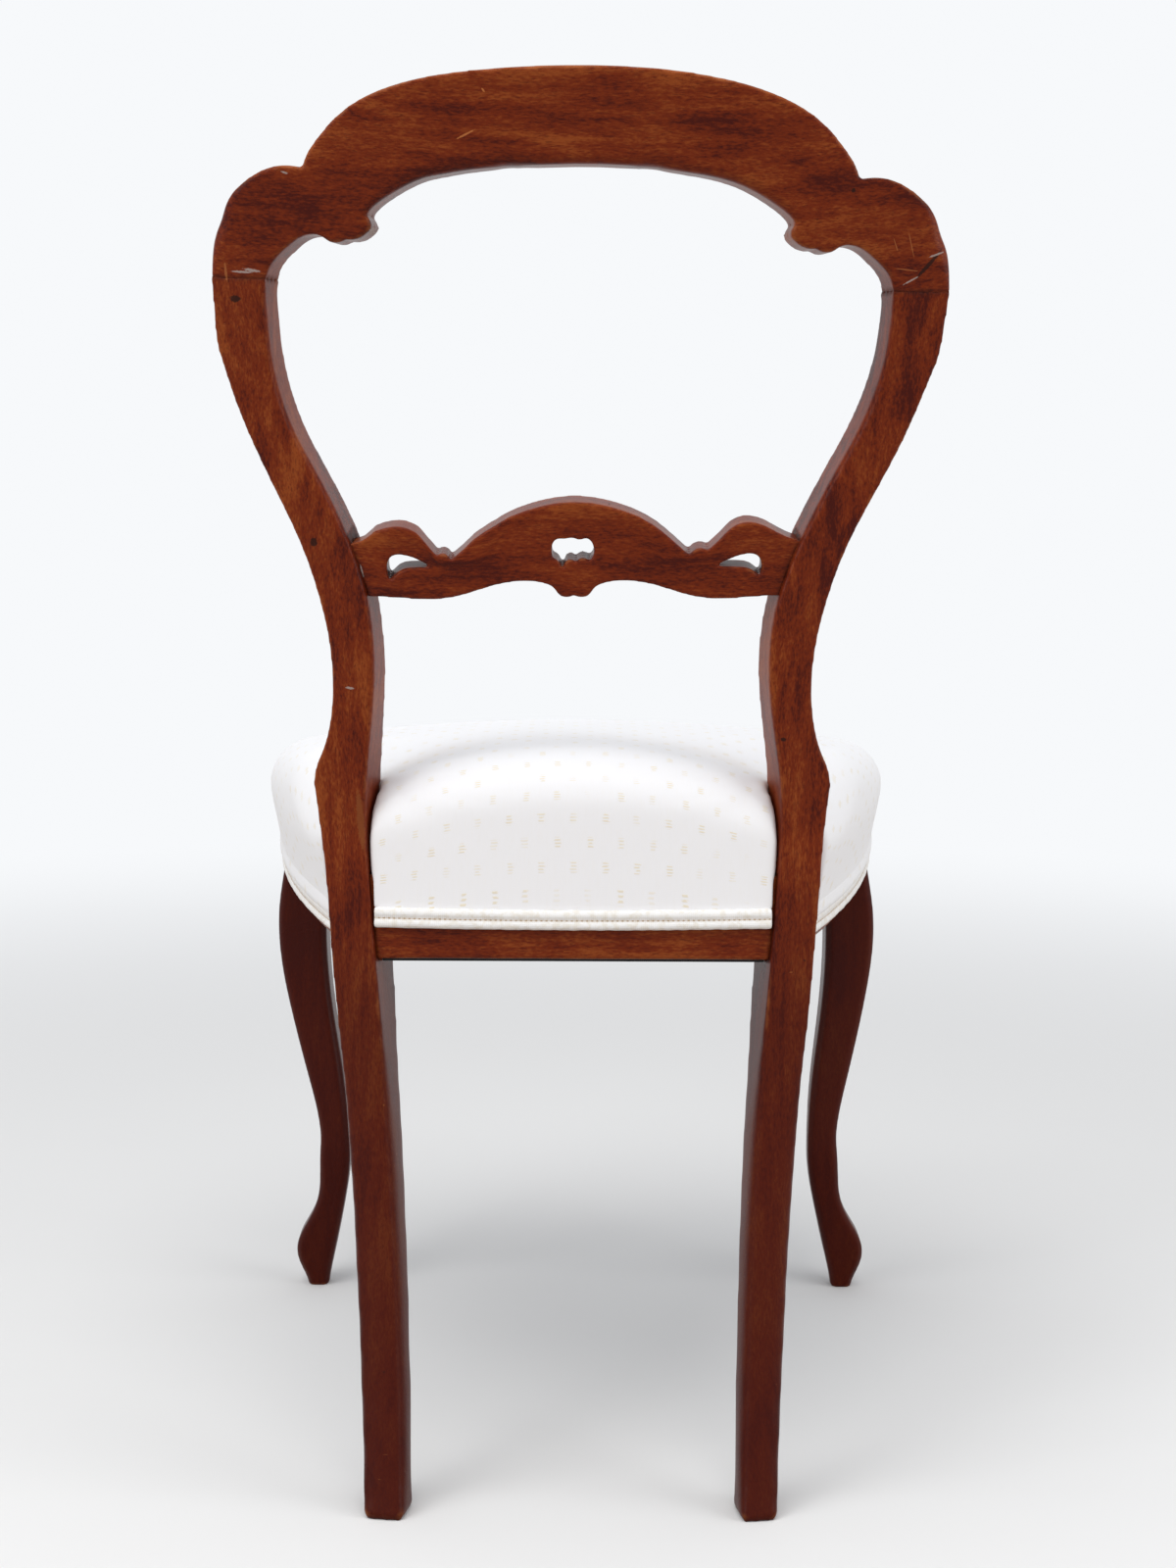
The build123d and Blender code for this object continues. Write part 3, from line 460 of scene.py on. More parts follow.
def makeDamask(look):
    material, tree, skin = newMaterial("damask", look["skin"])
    cloth, paintedShade = field(tree, "clothPlace", "Vector"), field(tree, "paintedShade")
    weave = useGroup(tree, weaveGroup, {"Cloth": cloth, "Threads": look["threads"]})

    # where each point lies from the middle of its own mark
    split = put(tree, "SeparateXYZ", {0: cloth})
    halfGap = look["columnGap"] / 2
    column = maths("DIVIDE", split.outputs[0], halfGap)
    columnNumber = maths("ROUND", column)
    aside = times(minus(column, columnNumber), halfGap)
    odd = maths("MODULO", maths("ABSOLUTE", columnNumber), 2.0)
    row = maths("DIVIDE", split.outputs[1], look["rowGap"])
    row = plus(row, times(odd, 0.5))
    rowNumber = maths("ROUND", row)
    along = times(minus(row, rowNumber), look["rowGap"])
    cell = put(tree, "CombineXYZ", {0: columnNumber, 1: rowNumber}).outputs[0]
    chance = put(tree, "TexWhiteNoise", {"Vector": cell}, noise_dimensions="2D").outputs["Value"]
    aside = plus(aside, times(minus(chance, 0.5), look["jitter"]))

    # the mark itself: ragged, broken by its threads and fainter in places
    drawn, character, reach = look["ragged"]
    ragged = noise(stretch(cloth, drawn), *character)
    wide = maths("ABSOLUTE", plus(aside, times(minus(ragged, 0.5), reach)))
    wide = ramp(wide, *look["halfWidth"])
    long = ramp(maths("ABSOLUTE", along), *look["halfLength"])
    pace, span = look["slubs"]
    slubs = ramp(maths("SINE", times(split.outputs[1], pace)), *span)
    character, share, span = look["fade"]
    faint = plus(noise(cloth, *character), times(chance, share))
    faint = times(slubs, ramp(faint, *span))
    dash = times(times(wide, long), faint)

    colour = blend(times(dash, look["dashShare"]), look["ground"], look["dash"])
    start, strength = look["threadTone"]
    threads = maths("MULTIPLY", minus(weave["Shade"], start), strength, True)
    colour = blend(threads, colour, look["dash"])
    # painted shade beside the posts and in the hollow, laid over the cloth
    link(blend(paintedShade, colour, look["paintedShade"]), skin["Base Color"])
    more, least = look["roughness"]
    link(plus(times(dash, more), least), skin["Roughness"])
    weaveDepth, dashDepth = look["depths"]
    height = plus(times(weave["Height"], weaveDepth), times(dash, dashDepth))
    addBump(skin, height, *look["bump"])
    return material


pipingLook = {
    "cloth": (0.85, 0.838, 0.825, 1),
    "shade": (0.775, 0.735, 0.67, 1),
    "stitch": (0.42, 0.27, 0.13, 1),
    "stitchGap": 0.0032,
    "threads": 5200.0,
    "lumps": (260.0, 4.0, 0.6),  # scale, detail and roughness
    "lumpTone": (0.42, 0.66),
    "holes": (-0.2, 0.7),
    "seamWidth": (0.0008, 0.0002),
    "sewn": (0.6, 0.35),  # how strong the holes and the line between them show
    "depths": (0.3, 0.8),  # of the weave and of the lumps
    "bump": (0.5, 0.0004),
    "skin": {"Roughness": 0.75},
}


def makePipingCloth(look):
    # plain covered cord, with a sewn line where the two cords meet
    material, tree, skin = newMaterial("pipingCloth", look["skin"])
    crease, run = field(tree, "crease"), field(tree, "runPlace", "Vector")
    weave = useGroup(tree, weaveGroup, {"Cloth": run, "Threads": look["threads"]})
    lumps = noise(objectPlace(tree), *look["lumps"])
    colour = blend(ramp(lumps, *look["lumpTone"]), look["cloth"], look["shade"])
    split = put(tree, "SeparateXYZ", {0: run})
    turns = times(split.outputs[0], 2 * math.pi / look["stitchGap"])
    holes = ramp(maths("SINE", turns), *look["holes"])
    holeShare, lineShare = look["sewn"]
    sewn = plus(times(holes, holeShare), lineShare)
    sewn = times(ramp(crease, *look["seamWidth"]), sewn)
    link(blend(sewn, colour, look["stitch"]), skin["Base Color"])
    weaveDepth, lumpDepth = look["depths"]
    height = plus(times(weave["Height"], weaveDepth), times(lumps, lumpDepth))
    addBump(skin, height, *look["bump"])
    return material


plainLooks = {
    # name: what mottles it and how finely, its two colours, and its roughness
    "beech": ("grain", (20.0, 300.0), (0.3, 0.17, 0.085, 1), (0.52, 0.34, 0.19, 1), 0.7),
    "juteWebbing": ("weave", 2600.0, (0.36, 0.27, 0.16, 1), (0.16, 0.11, 0.06, 1), 0.8),
    "hessian": ("weave", 2200.0, (0.42, 0.31, 0.18, 1), (0.22, 0.15, 0.08, 1), 0.8),
    "blackLining": ("weave", 5200.0, (0.012, 0.012, 0.013, 1), (0.03, 0.03, 0.032, 1), 0.9),
    "springWire": ("noise", (180.0, 4.0), (0.42, 0.25, 0.15, 1), (0.21, 0.125, 0.075, 1), 0.4),
}


def makePlain(name, kind, size, first, second, roughness):
    # the wood, cloth and wire that hardly show
    material, tree, skin = newMaterial(name, {"Roughness": roughness})
    place = objectPlace(tree)
    if kind == "grain":
        sizes = {"Patch Size": size[0], "Ribbon Size": size[1]}
        mottle = useGroup(tree, grainGroup, {"Grain": place, **sizes})["Ribbon"]
    elif kind == "weave":
        weave = useGroup(tree, weaveGroup, {"Cloth": place, "Threads": size})
        mottle = weave["Shade"]
        addBump(skin, weave["Height"], 0.4, 0.0004)
    else:
        mottle = noise(place, *size)
        skin["Metallic"].default_value = 1.0
    link(blend(mottle, first, second), skin["Base Color"])
    return material


mahogany = makeMahogany(mahoganyLook)
damask = makeDamask(damaskLook)
pipingCloth = makePipingCloth(pipingLook)
plains = {name: makePlain(name, *look) for name, look in plainLooks.items()}
print("materials made")


def copyOf(names, title):
    # one mesh from the named CAD nodes
    points, faces = [], []
    for name in names:
        mesh = nodes[name].data
        start = len(points)
        points += [tuple(v.co) for v in mesh.vertices]
        faces += [[start + i for i in face.vertices] for face in mesh.polygons]
    mesh = bpy.data.meshes.new(title)
    mesh.from_pydata(points, [], faces)
    return addObject(title, mesh)


def remesh(piece, size):
    # replaces the piece's mesh by an even one
    modifier = piece.modifiers.new("even", "REMESH")
    modifier.mode = "VOXEL"
    modifier.voxel_size = size
    modifier.use_smooth_shade = True
    graph = bpy.context.evaluated_depsgraph_get()
    mesh = bpy.data.meshes.new_from_object(piece.evaluated_get(graph))
    piece.modifiers.clear()
    old = piece.data
    piece.data = mesh
    mesh.name = piece.name
    bpy.data.meshes.remove(old)
    return piece


def readArray(items, name, width, kind=float):
    values = np.empty(len(items) * width, dtype=kind)
    items.foreach_get(name, values)
    return values.reshape(-1, width)


def readPoints(mesh):
    return readArray(mesh.vertices, "co", 3)


def readNormals(mesh):
    return readArray(mesh.vertex_normals, "vector", 3)


def readEdges(mesh):
    return readArray(mesh.edges, "vertices", 2, np.int64)


def writePoints(mesh, points):
    mesh.vertices.foreach_set("co", points.ravel())
    mesh.update()


def average(values, edges):
    # mean of each point's neighbours
    count = len(values)
    first, second = edges[:, 0], edges[:, 1]
    near = np.bincount(first, minlength=count) + np.bincount(second, minlength=count)
    near = np.maximum(near, 1)
    if values.ndim == 1:
        total = np.bincount(first, values[second], count)
        total = total + np.bincount(second, values[first], count)
        return total / near
    return np.stack([average(values[:, i], edges) for i in range(values.shape[1])], axis=1)


def smooth(mesh, rounds, weight=None):
    points, edges = readPoints(mesh), readEdges(mesh)
    share = 0.5 if weight is None else 0.5 * weight[:, None]
    for _ in range(rounds):
        points += (average(points, edges) - points) * share
    writePoints(mesh, points)


def bendOf(mesh, rounds):
    # how far each point stands proud of its surroundings, in metres
    points, edges = readPoints(mesh), readEdges(mesh)
    around = points
    for _ in range(rounds):
        around = average(around, edges)
    return np.einsum("ij,ij->i", points - around, readNormals(mesh))


def addField(mesh, name, values):
    kind, part = ("FLOAT", "value") if values.ndim == 1 else ("FLOAT_VECTOR", "vector")
    made = mesh.attributes.new(name, kind, "POINT")
    made.data.foreach_set(part, values.astype(np.float32).ravel())


def step(value, low, high):
    # 0 at low and 1 at high, eased between
    t = np.clip((value - low) / (high - low), 0, 1)
    return t * t * (3 - 2 * t)


def within(value, rise, fall):
    return step(value, *rise) * (1 - step(value, *fall))


def nearTo(across, height, place, level, reach):
    # 1 at a place on the back and fading off around it
    return np.exp(-((across - place) ** 2 + (height - level) ** 2) / reach**2)


def ripple(points, size, seed, waves=7):
    # smooth irregular values, mostly between -1 and 1
    maker = np.random.default_rng(seed)
    total = np.zeros(len(points))
    for _ in range(waves):
        way = maker.normal(size=3)
        way /= np.linalg.norm(way)
        pace = maker.uniform(0.6, 1.6)
        start = maker.uniform(0, 6.28)
        total += np.sin(points @ way * (2 * math.pi / size) * pace + start)
    return total / 4


def shadeSmooth(mesh):
    mesh.polygons.foreach_set("use_smooth", [True] * len(mesh.polygons))
    mesh.update()


posts = ["back_post_left", "back_post_right"]
woodForm = {
    # node: cell size, rounds of smoothing, grain direction, tone, the pieces that it is joined to
    "crest_rail": (0.0013, 6, "x", 0.0, posts),
    "mid_rail": (0.001, 5, "x", 0.0, posts),
    "back_post_left": (0.0013, 6, "z", 0.0, ["crest_rail", "mid_rail", "rear_seat_rail"]),
    "back_post_right": (0.0013, 6, "z", -0.02, ["crest_rail", "mid_rail", "rear_seat_rail"]),
    # the rear rail's lighter tone is painted light against the shadow that the piping casts on it
    "rear_seat_rail": (0.0012, 4, "x", 0.05, posts),
    "front_seat_rail": (0.0016, 4, "x", 0.0, ["front_leg_left", "front_leg_right"]),
    "side_rail_left": (0.0016, 4, "y", 0.0, ["front_leg_left", "back_post_left"]),
    "side_rail_right": (0.0016, 4, "y", 0.0, ["front_leg_right", "back_post_right"]),
    "front_leg_left": (0.0012, 6, "z", -0.05, ["front_seat_rail", "side_rail_left"]),
    "front_leg_right": (0.0012, 6, "z", -0.05, ["front_seat_rail", "side_rail_right"]),
}
# The real back isn't quite even. The pieces follow it where it departs from the drawing, by moves
# in metres, and in millimetres in the tables by height and for the arch.
postForm = {
    "heights": (
        (0.4, 0.43, 0.466, 0.487, 0.522, 0.56, 0.608)
        + (0.643, 0.672, 0.692, 0.715, 0.74, 0.765)
    ),
    # how far the outer and the inner edge of each post stand out at these heights
    "back_post_left": (
        (0, 1.3, 1.8, 2.4, 2.4, 1.3, 0.9, 1.0, 1.9, 3.3, 1.8, -0.3, -1.5),
        (0, 0, 0, 0, 1.6, 2.2, 0, -0.9, -1.0, -1.7, -1.4, -1.2, -1.8),
    ),
    "back_post_right": (
        (0, 0, 0, 0, 0, 0, 0.2, 1.7, 3.4, 4.7, 4.7, 4.9, 5.7),
        (0, 0, 0, -0.8, -1.4, -0.8, 0, -0.6, -1.8, -1.5, 0.8, 3.6, 5.3),
    ),
    "footWider": 0.0026,  # the left foot, on its inner side
    "footTo": 0.28,
}
crestForm = {
    "widening": 0.0098,  # per metre from the middle
    "aside": 0.0036,
    # place, height, reach and outward move of the scroll ends and of the full shoulders
    "outward": ((0.118, 0.797, 0.015, 0.0027), (0.208, 0.81, 0.015, 0.0042)),
    "underTo": 0.835,  # up to here all of the piece moves with its underside
    "topAfter": 0.044,  # and from this much higher with its top
    "archFrom": (0.806, 0.816),
    # how much lower the underside and the top of the arch are at these places across
    "under": (
        (-0.06, -0.048, -0.042, -0.037, -0.028, -0.015, 0.0, 0.01)
        + (0.022, 0.033, 0.0375, 0.042, 0.06, 0.075, 0.088),
        (0, 0, 0.6, 1.0, 0.6, 0.2, 0.3, 0.8, 1.4, 1.8, 1.2, 0.8, 0.6, 0.8, 0),
    ),
    "top": (
        (-0.16, -0.122, -0.067, -0.053, -0.025, -0.004, 0.009, 0.03, 0.058, 0.107, 0.15),
        (0, 1.2, 1.1, 0.6, 0.6, 0.6, 1.2, 1.7, 2.2, 1.7, 0),
    ),
}
midRailForm = {
    "middle": 0.6,  # the heights below are measured from here
    # the upper part starts between these heights, at these places from the middle
    "places": (0.04, 0.055, 0.08, 0.092),
    "upperFrom": (0.018, -0.002, -0.002, 0.008),
    "upperFull": (0.036, 0.009, 0.009, 0.024),
    "sunk": (0.0009, 0.0016, 0.115),  # the whole rail, more at the left end, and where that is
    "upperSunk": (0.002, 0.003, 0.045, 0.065),  # all of it, more at the left, and from where
    "tipRise": ((0.1, 0.106, 0.115, 0.122, 0.129), (0.0, 0.0006, 0.0018, 0.003, 0.0004)),
    "leafAside": (
        (0.048, 0.057, 0.069, 0.075, 0.087, 0.097),
        (0.0, 0.0046, 0.0054, 0.0036, 0.0013, 0.0),
    ),
    "leafFrom": (-0.01, 0.004),
    "corner": (0.11, -0.006, 0.006, 0.0025),  # place, height, reach and drop
}
backForm = {
    # moves that crest and posts share, and that of the front legs
    "joint": (0.187, 0.76, 0.016, 0.0018),  # place, height, reach and move of its inner edge
    "tilt": (0.022, 0.01),  # the rise of the left shoulder and the drop of the right one
    "tiltFrom": (0.6, 0.765),
    "footAside": (0.004, 0.34),  # of the front feet, and the height that it reaches up to
}
legForm = {
    # the lower back legs, whose corners are taken off
    "rounds": 110,
    "round": (0.215, 0.32),  # fully below the first height, not at all above the second
    "foot": (0.3, 0.035),  # the share at the floor, and where it is full
    "level": 0.02,  # below this the heights stay as they are
    "sole": (0.1, 0.005),  # how much narrower, and the height of that
    "leastSpan": 0.001,
    "last": (4, 0.004, 0.01),  # rounds at the end, and the heights that they start between
}
cornerForm = {
    # corners that were rounded with a spokeshave
    "arch": (46, 5),  # rounds, and how wide the mask is
    "archWidth": (0.125, -0.01, 0.02),  # half of it, and its fading
    "archFrom": (0.79, 0.81),
    "shoulder": (130, 1.5, 0.218, 0.798, 0.016),  # rounds, strength, place, height and reach
    "kink": (60, 0.04, 0.009, 0.838, 0.844),  # the drawing's, in the arch's underside
    "post": (30, 3, (0.475, 0.52), (0.745, 0.762)),  # and from where to where
    "full": (0.45, (0.6, 0.64), (0.7, 0.722)),  # the least share, and where it is full
}
surfaceForm = {
    "jointReach": 0.008,
    "jointKeep": (0.001, 0.006),  # smoothing starts and is full this far from a joint
    "ripple": (0.07, 0.00014),  # size and height
    "closing": (0.0009, 0.0006, 0.0018),  # how far, and the gaps that it fades off between
    "bend": (9, 0.0011),  # rounds, and the bend of a sharp outer edge
    # painted shade under the seat: the back legs darker towards the floor, the front legs darkest,
    # the seat rails less
    "backLegTone": ((0.0, 0.08, 0.3, 0.42), (0.86, 0.82, 0.62, 0.0)),  # by height
    "frontLegTone": 0.84,
    "railTone": 0.4,
}
tonePatches = [
    # middle, reach across and up, and how much lighter or darker the wood is there
    (0.105, 0.853, 0.024, 0.016, 0.075),
    (0.06, 0.862, 0.05, 0.01, -0.045),
    (0.02, 0.845, 0.06, 0.006, 0.03),
    (-0.045, 0.86, 0.012, 0.012, 0.06),
    (-0.085, 0.856, 0.03, 0.014, -0.065),
    (-0.146, 0.842, 0.012, 0.01, 0.06),
    (-0.145, 0.824, 0.02, 0.014, -0.05),
    (0.13, 0.812, 0.022, 0.016, 0.05),
    (0.185, 0.795, 0.02, 0.016, -0.03),
    (-0.185, 0.8, 0.02, 0.02, 0.03),
    (0.208, 0.74, 0.01, 0.03, 0.06),
    (0.185, 0.69, 0.01, 0.03, 0.05),
    (-0.112, 0.612, 0.016, 0.01, 0.06),
    (0.11, 0.605, 0.02, 0.008, -0.03),
    (0.143, 0.47, 0.014, 0.032, -0.03),
    (-0.14, 0.455, 0.014, 0.035, 0.065),
    (0.0, 0.34, 0.12, 0.014, 0.04),
]


def distanceTo(points, names, limit=0.02):
    # how far each point is from the named CAD nodes, up to a limit
    gaps = np.full(len(points), limit)
    for name in names:
        mesh = nodes[name].data
        corners = [vertex.co[:] for vertex in mesh.vertices]
        tree = BVHTree.FromPolygons(corners, [face.vertices[:] for face in mesh.polygons])
        low, high = (np.array(corner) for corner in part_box(name))
        close = np.all((points > low - limit) & (points < high + limit), axis=1)
        for index in np.nonzero(close)[0]:
            found = tree.find_nearest(points[index], limit)
            if found[3] is not None:
                gaps[index] = min(gaps[index], found[3])
    return gaps


def cornerMask(mesh, wayOut, wayOver, rounds):
    # 1 along the arris between the faces that look those two ways, fading off around it
    normals, edges = readNormals(mesh), readEdges(mesh)
    first = np.einsum("ij,ij->i", normals, wayOut)
    second = np.einsum("ij,ij->i", normals, wayOver)
    mask = step(first, 0.25, 0.5) * step(second, 0.25, 0.5)
    for _ in range(rounds):
        mask = np.maximum(mask, average(mask, edges))
    for _ in range(3):
        mask = average(mask, edges)
    return np.clip(mask * 1.6, 0, 1)


def easedTable(places, values, at, reach=0.012):
    # values between those of a table, with its corners rounded
    total = sum(np.interp(at + offset, places, values) for offset in np.linspace(-reach, reach, 7))
    return total / 7


def sectionSpans(across, height, cell=0.004):
    # the least and the greatest value across a piece at each point's height
    levels = np.round((height - height.min()) / cell).astype(int)
    low, high = np.full(levels.max() + 1, 9.0), np.full(levels.max() + 1, -9.0)
    np.minimum.at(low, levels, across)
    np.maximum.at(high, levels, across)
    places = height.min() + np.arange(len(low)) * cell
    even = np.array((1, 2, 3, 2, 1)) / 9
    spans = (np.convolve(np.pad(values, 2, "edge"), even, "valid") for values in (low, high))
    return [np.interp(height, places, values) for values in spans]


def shapePost(name, points, form):
    side = 1 if name.endswith("left") else -1
    x, y, z = points.T  # these change with the points, here and below
    inner, outer = sectionSpans(x * side, z)
    share = np.clip((x * side - inner) / (outer - inner), 0, 1)
    outerMove, innerMove = (easedTable(form["heights"], v, z) / 1000 for v in form[name])
    move = innerMove + (outerMove - innerMove) * share
    if side == 1:
        move -= form["footWider"] * (1 - share) * (1 - step(z, 0.0, form["footTo"]))
    x += move * side


def shapeCrest(points, form):
    x, y, z = points.T
    before = x.copy()
    x += before * form["widening"] - form["aside"]
    for place, level, reach, move in form["outward"]:
        x += np.sign(before) * move * nearTo(np.abs(before), z, place, level, reach)
    share = np.clip((z - form["underTo"]) / form["topAfter"], 0, 1)
    under = np.interp(x, *form["under"]) * step(z, *form["archFrom"])
    z -= (under * (1 - share) + easedTable(*form["top"], x) * share) / 1000


def shapeMidRail(points, form):
    # it was set a little low, and its leaf at the left was cut lower than the other
    x, y, z = points.T
    height = z - form["middle"]
    start = np.interp(np.abs(x), form["places"], form["upperFrom"])
    end = np.interp(np.abs(x), form["places"], form["upperFull"])
    upper = step((height - start) / (end - start), 0, 1)
    place, level, reach, drop = form["corner"]
    sunk, sunkLeft, leftEnd = form["sunk"]
    upperSunk, upperSunkLeft, *leftFrom = form["upperSunk"]
    z += np.interp(x, *form["tipRise"]) * upper
    z -= drop * nearTo(x, height, place, level, reach)
    z -= sunk + sunkLeft * np.clip(x / leftEnd, 0, 1)
    z -= (upperSunk + upperSunkLeft * step(x, *leftFrom)) * upper
    x += np.interp(x, *form["leafAside"]) * step(height, *form["leafFrom"])


def handShape(name, points, form):
    if name.startswith("back_post"):
        shapePost(name, points, postForm)
    if name == "crest_rail":
        shapeCrest(points, crestForm)
    if name == "mid_rail":
        shapeMidRail(points, midRailForm)
    x, y, z = points.T
    if name.startswith("front_leg"):
        aside, top = form["footAside"]
        x -= aside * (1 - step(z, 0.0, top))
    if name == "crest_rail" or name.startswith("back_post"):
        place, level, reach, move = form["joint"]
        x += move * nearTo(x, z, place, level, reach)
        left, right = form["tilt"]
        z += np.where(x > 0, left, right) * x * step(z, *form["tiltFrom"])
    return points


def roundLeg(mesh, form):
    # a nearly round section from below the seat rail to the foot, as wide and as deep as it was
    x, y, height = readPoints(mesh).T
    before = [sectionSpans(across, height) for across in (x, y)]
    low = 1 - step(height, *form["round"])
    share, full = form["foot"]
    smooth(mesh, form["rounds"], low * (share + (1 - share) * step(height, 0.0, full)))
    points = readPoints(mesh)
    points[:, 2] = np.where(height < form["level"], height, points[:, 2])
    narrower, soleTo = form["sole"]
    foot = 1 - narrower * (1 - np.clip(height / soleTo, 0, 1)) ** 2
    for across, (least, most) in zip(points.T, before):
        nowLeast, nowMost = sectionSpans(across, height)
        span = np.maximum(nowMost - nowLeast, form["leastSpan"])
        full = least + (across - nowLeast) / span * (most - least)
        middle = (least + most) / 2
        across += (middle + (full - middle) * foot - across) * low
    writePoints(mesh, points)
    rounds, *lastFrom = form["last"]
    smooth(mesh, rounds, low * step(height, *lastFrom))


def easeCrest(mesh, behind, form):
    x, y, z = readPoints(mesh).T
    inward = np.stack([-x / 0.14, y * 0, y * 0 - 1], axis=1)
    inward /= np.linalg.norm(inward, axis=1)[:, None]
    halfWidth, *fade = form["archWidth"]
    arch = step(halfWidth - np.abs(x), *fade) * step(z, *form["archFrom"])
    rounds, wide = form["arch"]
    smooth(mesh, rounds, cornerMask(mesh, behind, inward, wide) * arch)
    rounds, strength, *shoulder = form["shoulder"]
    smooth(mesh, rounds, np.clip(nearTo(np.abs(x), z, *shoulder) * strength, 0, 1))
    rounds, place, reach, *fade = form["kink"]
    kink = np.exp(-(((np.abs(x) - place) / reach) ** 2)) * (1 - step(z, *fade))
    smooth(mesh, rounds, kink)


def easeCorners(name, mesh, form):
    points = readPoints(mesh)
    behind = np.tile((0.0, 1.0, 0.0), (len(points), 1))
    if name == "crest_rail":
        easeCrest(mesh, behind, form)
    if name.startswith("back_post"):
        side = 1 if name.endswith("left") else -1
        inward = np.tile((-side, 0.0, 0.0), (len(points), 1))
        rounds, wide, *run = form["post"]
        least, *full = form["full"]
        share = least + (1 - least) * within(points[:, 2], *full)
        mask = cornerMask(mesh, behind, inward, wide) * within(points[:, 2], *run)
        smooth(mesh, rounds, mask * share)
        roundLeg(mesh, legForm)


def closeJoints(name, points, normals, gaps, form):
    # the ends run a hair into their neighbours, so that no groove is left along the joints
    axis = 0 if name in ("mid_rail", "rear_seat_rail") else 2
    facing = np.where(np.abs(normals[:, axis]) > 0.3, np.sign(normals[:, axis]), 0)
    far, *fade = form["closing"]
    points[:, axis] += far * facing * (1 - step(gaps, *fade))


def shadeUnderSeat(name, height, form):
    # painted shade under the seat: the legs are darker than the back, and the front ones darkest
    if name.startswith("back_post"):
        return np.interp(height, *form["backLegTone"])
    if name.startswith("front_leg"):
        return np.full(len(height), form["frontLegTone"])
    seatRail = name.startswith(("side", "front"))
    return np.full(len(height), form["railTone"] if seatRail else 0.0)


def makeWood(name, size, rounds, way, tone, joined):
    form = surfaceForm
    piece = remesh(copyOf([name], name + "_wood"), size)
    mesh = piece.data
    nearest = distanceTo(readPoints(mesh), joined, form["jointReach"])
    keep = step(nearest, *form["jointKeep"])
    smooth(mesh, rounds, keep)
    easeCorners(name, mesh, cornerForm)
    points = readPoints(mesh)
    gaps = distanceTo(points, joined)
    rippleSize, rippleHeight = form["ripple"]
    uneven = ripple(points, rippleSize, len(name)) * rippleHeight * keep
    points += readNormals(mesh) * uneven[:, None]
    if not name.startswith(("front", "side")):
        closeJoints(name, points, readNormals(mesh), gaps, form)
    order = {"x": (0, 1, 2), "y": (1, 0, 2), "z": (2, 0, 1)}[way]
    offset = sum(ord(c) for c in name) * 0.37  # no two pieces have the same figure
    addField(mesh, "grainPlace", points[:, order] + offset)
    writePoints(mesh, handShape(name, points, backForm))
    bendRounds, sharp = form["bend"]
    addField(mesh, "edgeBend", bendOf(mesh, bendRounds) / sharp)
    addField(mesh, "seamGap", gaps)
    tones = np.full(len(points), tone)
    for x, z, wide, high, change in tonePatches:
        away = ((points[:, 0] - x) / wide) ** 2 + ((points[:, 2] - z) / high) ** 2
        tones += change * np.exp(-away)
    addField(mesh, "toneShift", tones)
    # painted shade under the seat
    addField(mesh, "shadeUnderSeat", shadeUnderSeat(name, points[:, 2], form))
    shadeSmooth(mesh)
    mesh.materials.append(mahogany)
    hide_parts(name)
    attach(piece, "root")
    print(name, len(mesh.vertices))


for name, form in woodForm.items():
    makeWood(name, *form)
print("show wood made")


seatForm = {
    # places from the back face forward and from the middle across, heights from the floor
    "cell": 0.0026,
    "rounds": 10,
    "crown": (1.4, 0.478, 0.115),  # radius, height and place of the top
    "plan": (0.235, 0.3, 0.2, 0.07, 0.43),  # half width, where it narrows, how and to what; depth
    "wall": (0.385, 0.45),
    "roll": (0.0042, 0.0125, 0.115, 2.2),  # rise of the rear roll, its fall at the posts and how
    "rollEnds": (0.055, 0.15),
    "valleyPlace": (0.088, 0.04, 0.122),  # at the middle, how much less at the posts, and these
    "valley": (0.001, 0.024, 0.14, 0.03),  # depth, reach, half width and fading
    "drawnIn": 0.008,
    "drawnBelow": (0.366, 0.425),
    "sides": ((0.04, 0.06), (0.15, 0.16)),  # where they start, forward and across
    "hem": (0.368, 0.0144, 0.016),  # height, how much more behind, and depth
    "hemDrop": (0.0034, 0.005),  # everywhere, and more behind
    "corner": (0.118, 0.03, 0.455, 0.022),  # across, forward, height and reach of the folds
    "folds": (0.001, 9, 60, 0.02),  # depth, number, slant, and where they spread from
    "last": 2,
    "lined": (0.27, 0.005, 0.25),  # painted shade by the posts: share, reach, and how much lower down
    "linedAbove": (0.425, 0.455),
    "shaded": (0.03, 0.15, 0.045, 0.115, 0.018, 0.135),  # and in the valley
}


def clothPlaceOf(points, form):
    # the cloth's own flat coordinates: it runs over the top and down each side
    x, y, z = points.T
    radius, height, forward = form["crown"]
    halfWidth, narrowFrom, slope, most, depth = form["plan"]
    apart = x**2 + (y - backFace + forward) ** 2
    top = height - radius + np.sqrt(np.maximum(radius**2 - apart, 0))
    drop = np.maximum(top - z, 0)
    toBack, toFront = backFace - y, y - (backFace - depth)
    toSide = halfWidth - np.abs(x) - np.clip((narrowFrom - toBack) * slope, 0, most)
    place = np.zeros_like(points)
    nearest = np.argmin(np.stack([toBack, toFront, toSide]), axis=0)
    place[:, 0] = x + np.where(nearest == 2, drop * np.sign(x), 0)
    place[:, 1] = y + np.where(nearest == 0, drop, 0) - np.where(nearest == 1, drop, 0)
    return place


def valleyOf(across, form):
    # how far forward the hollow behind the crown lies
    forward, less, halfWidth = form["valleyPlace"]
    return forward - less * (across / halfWidth) ** 2


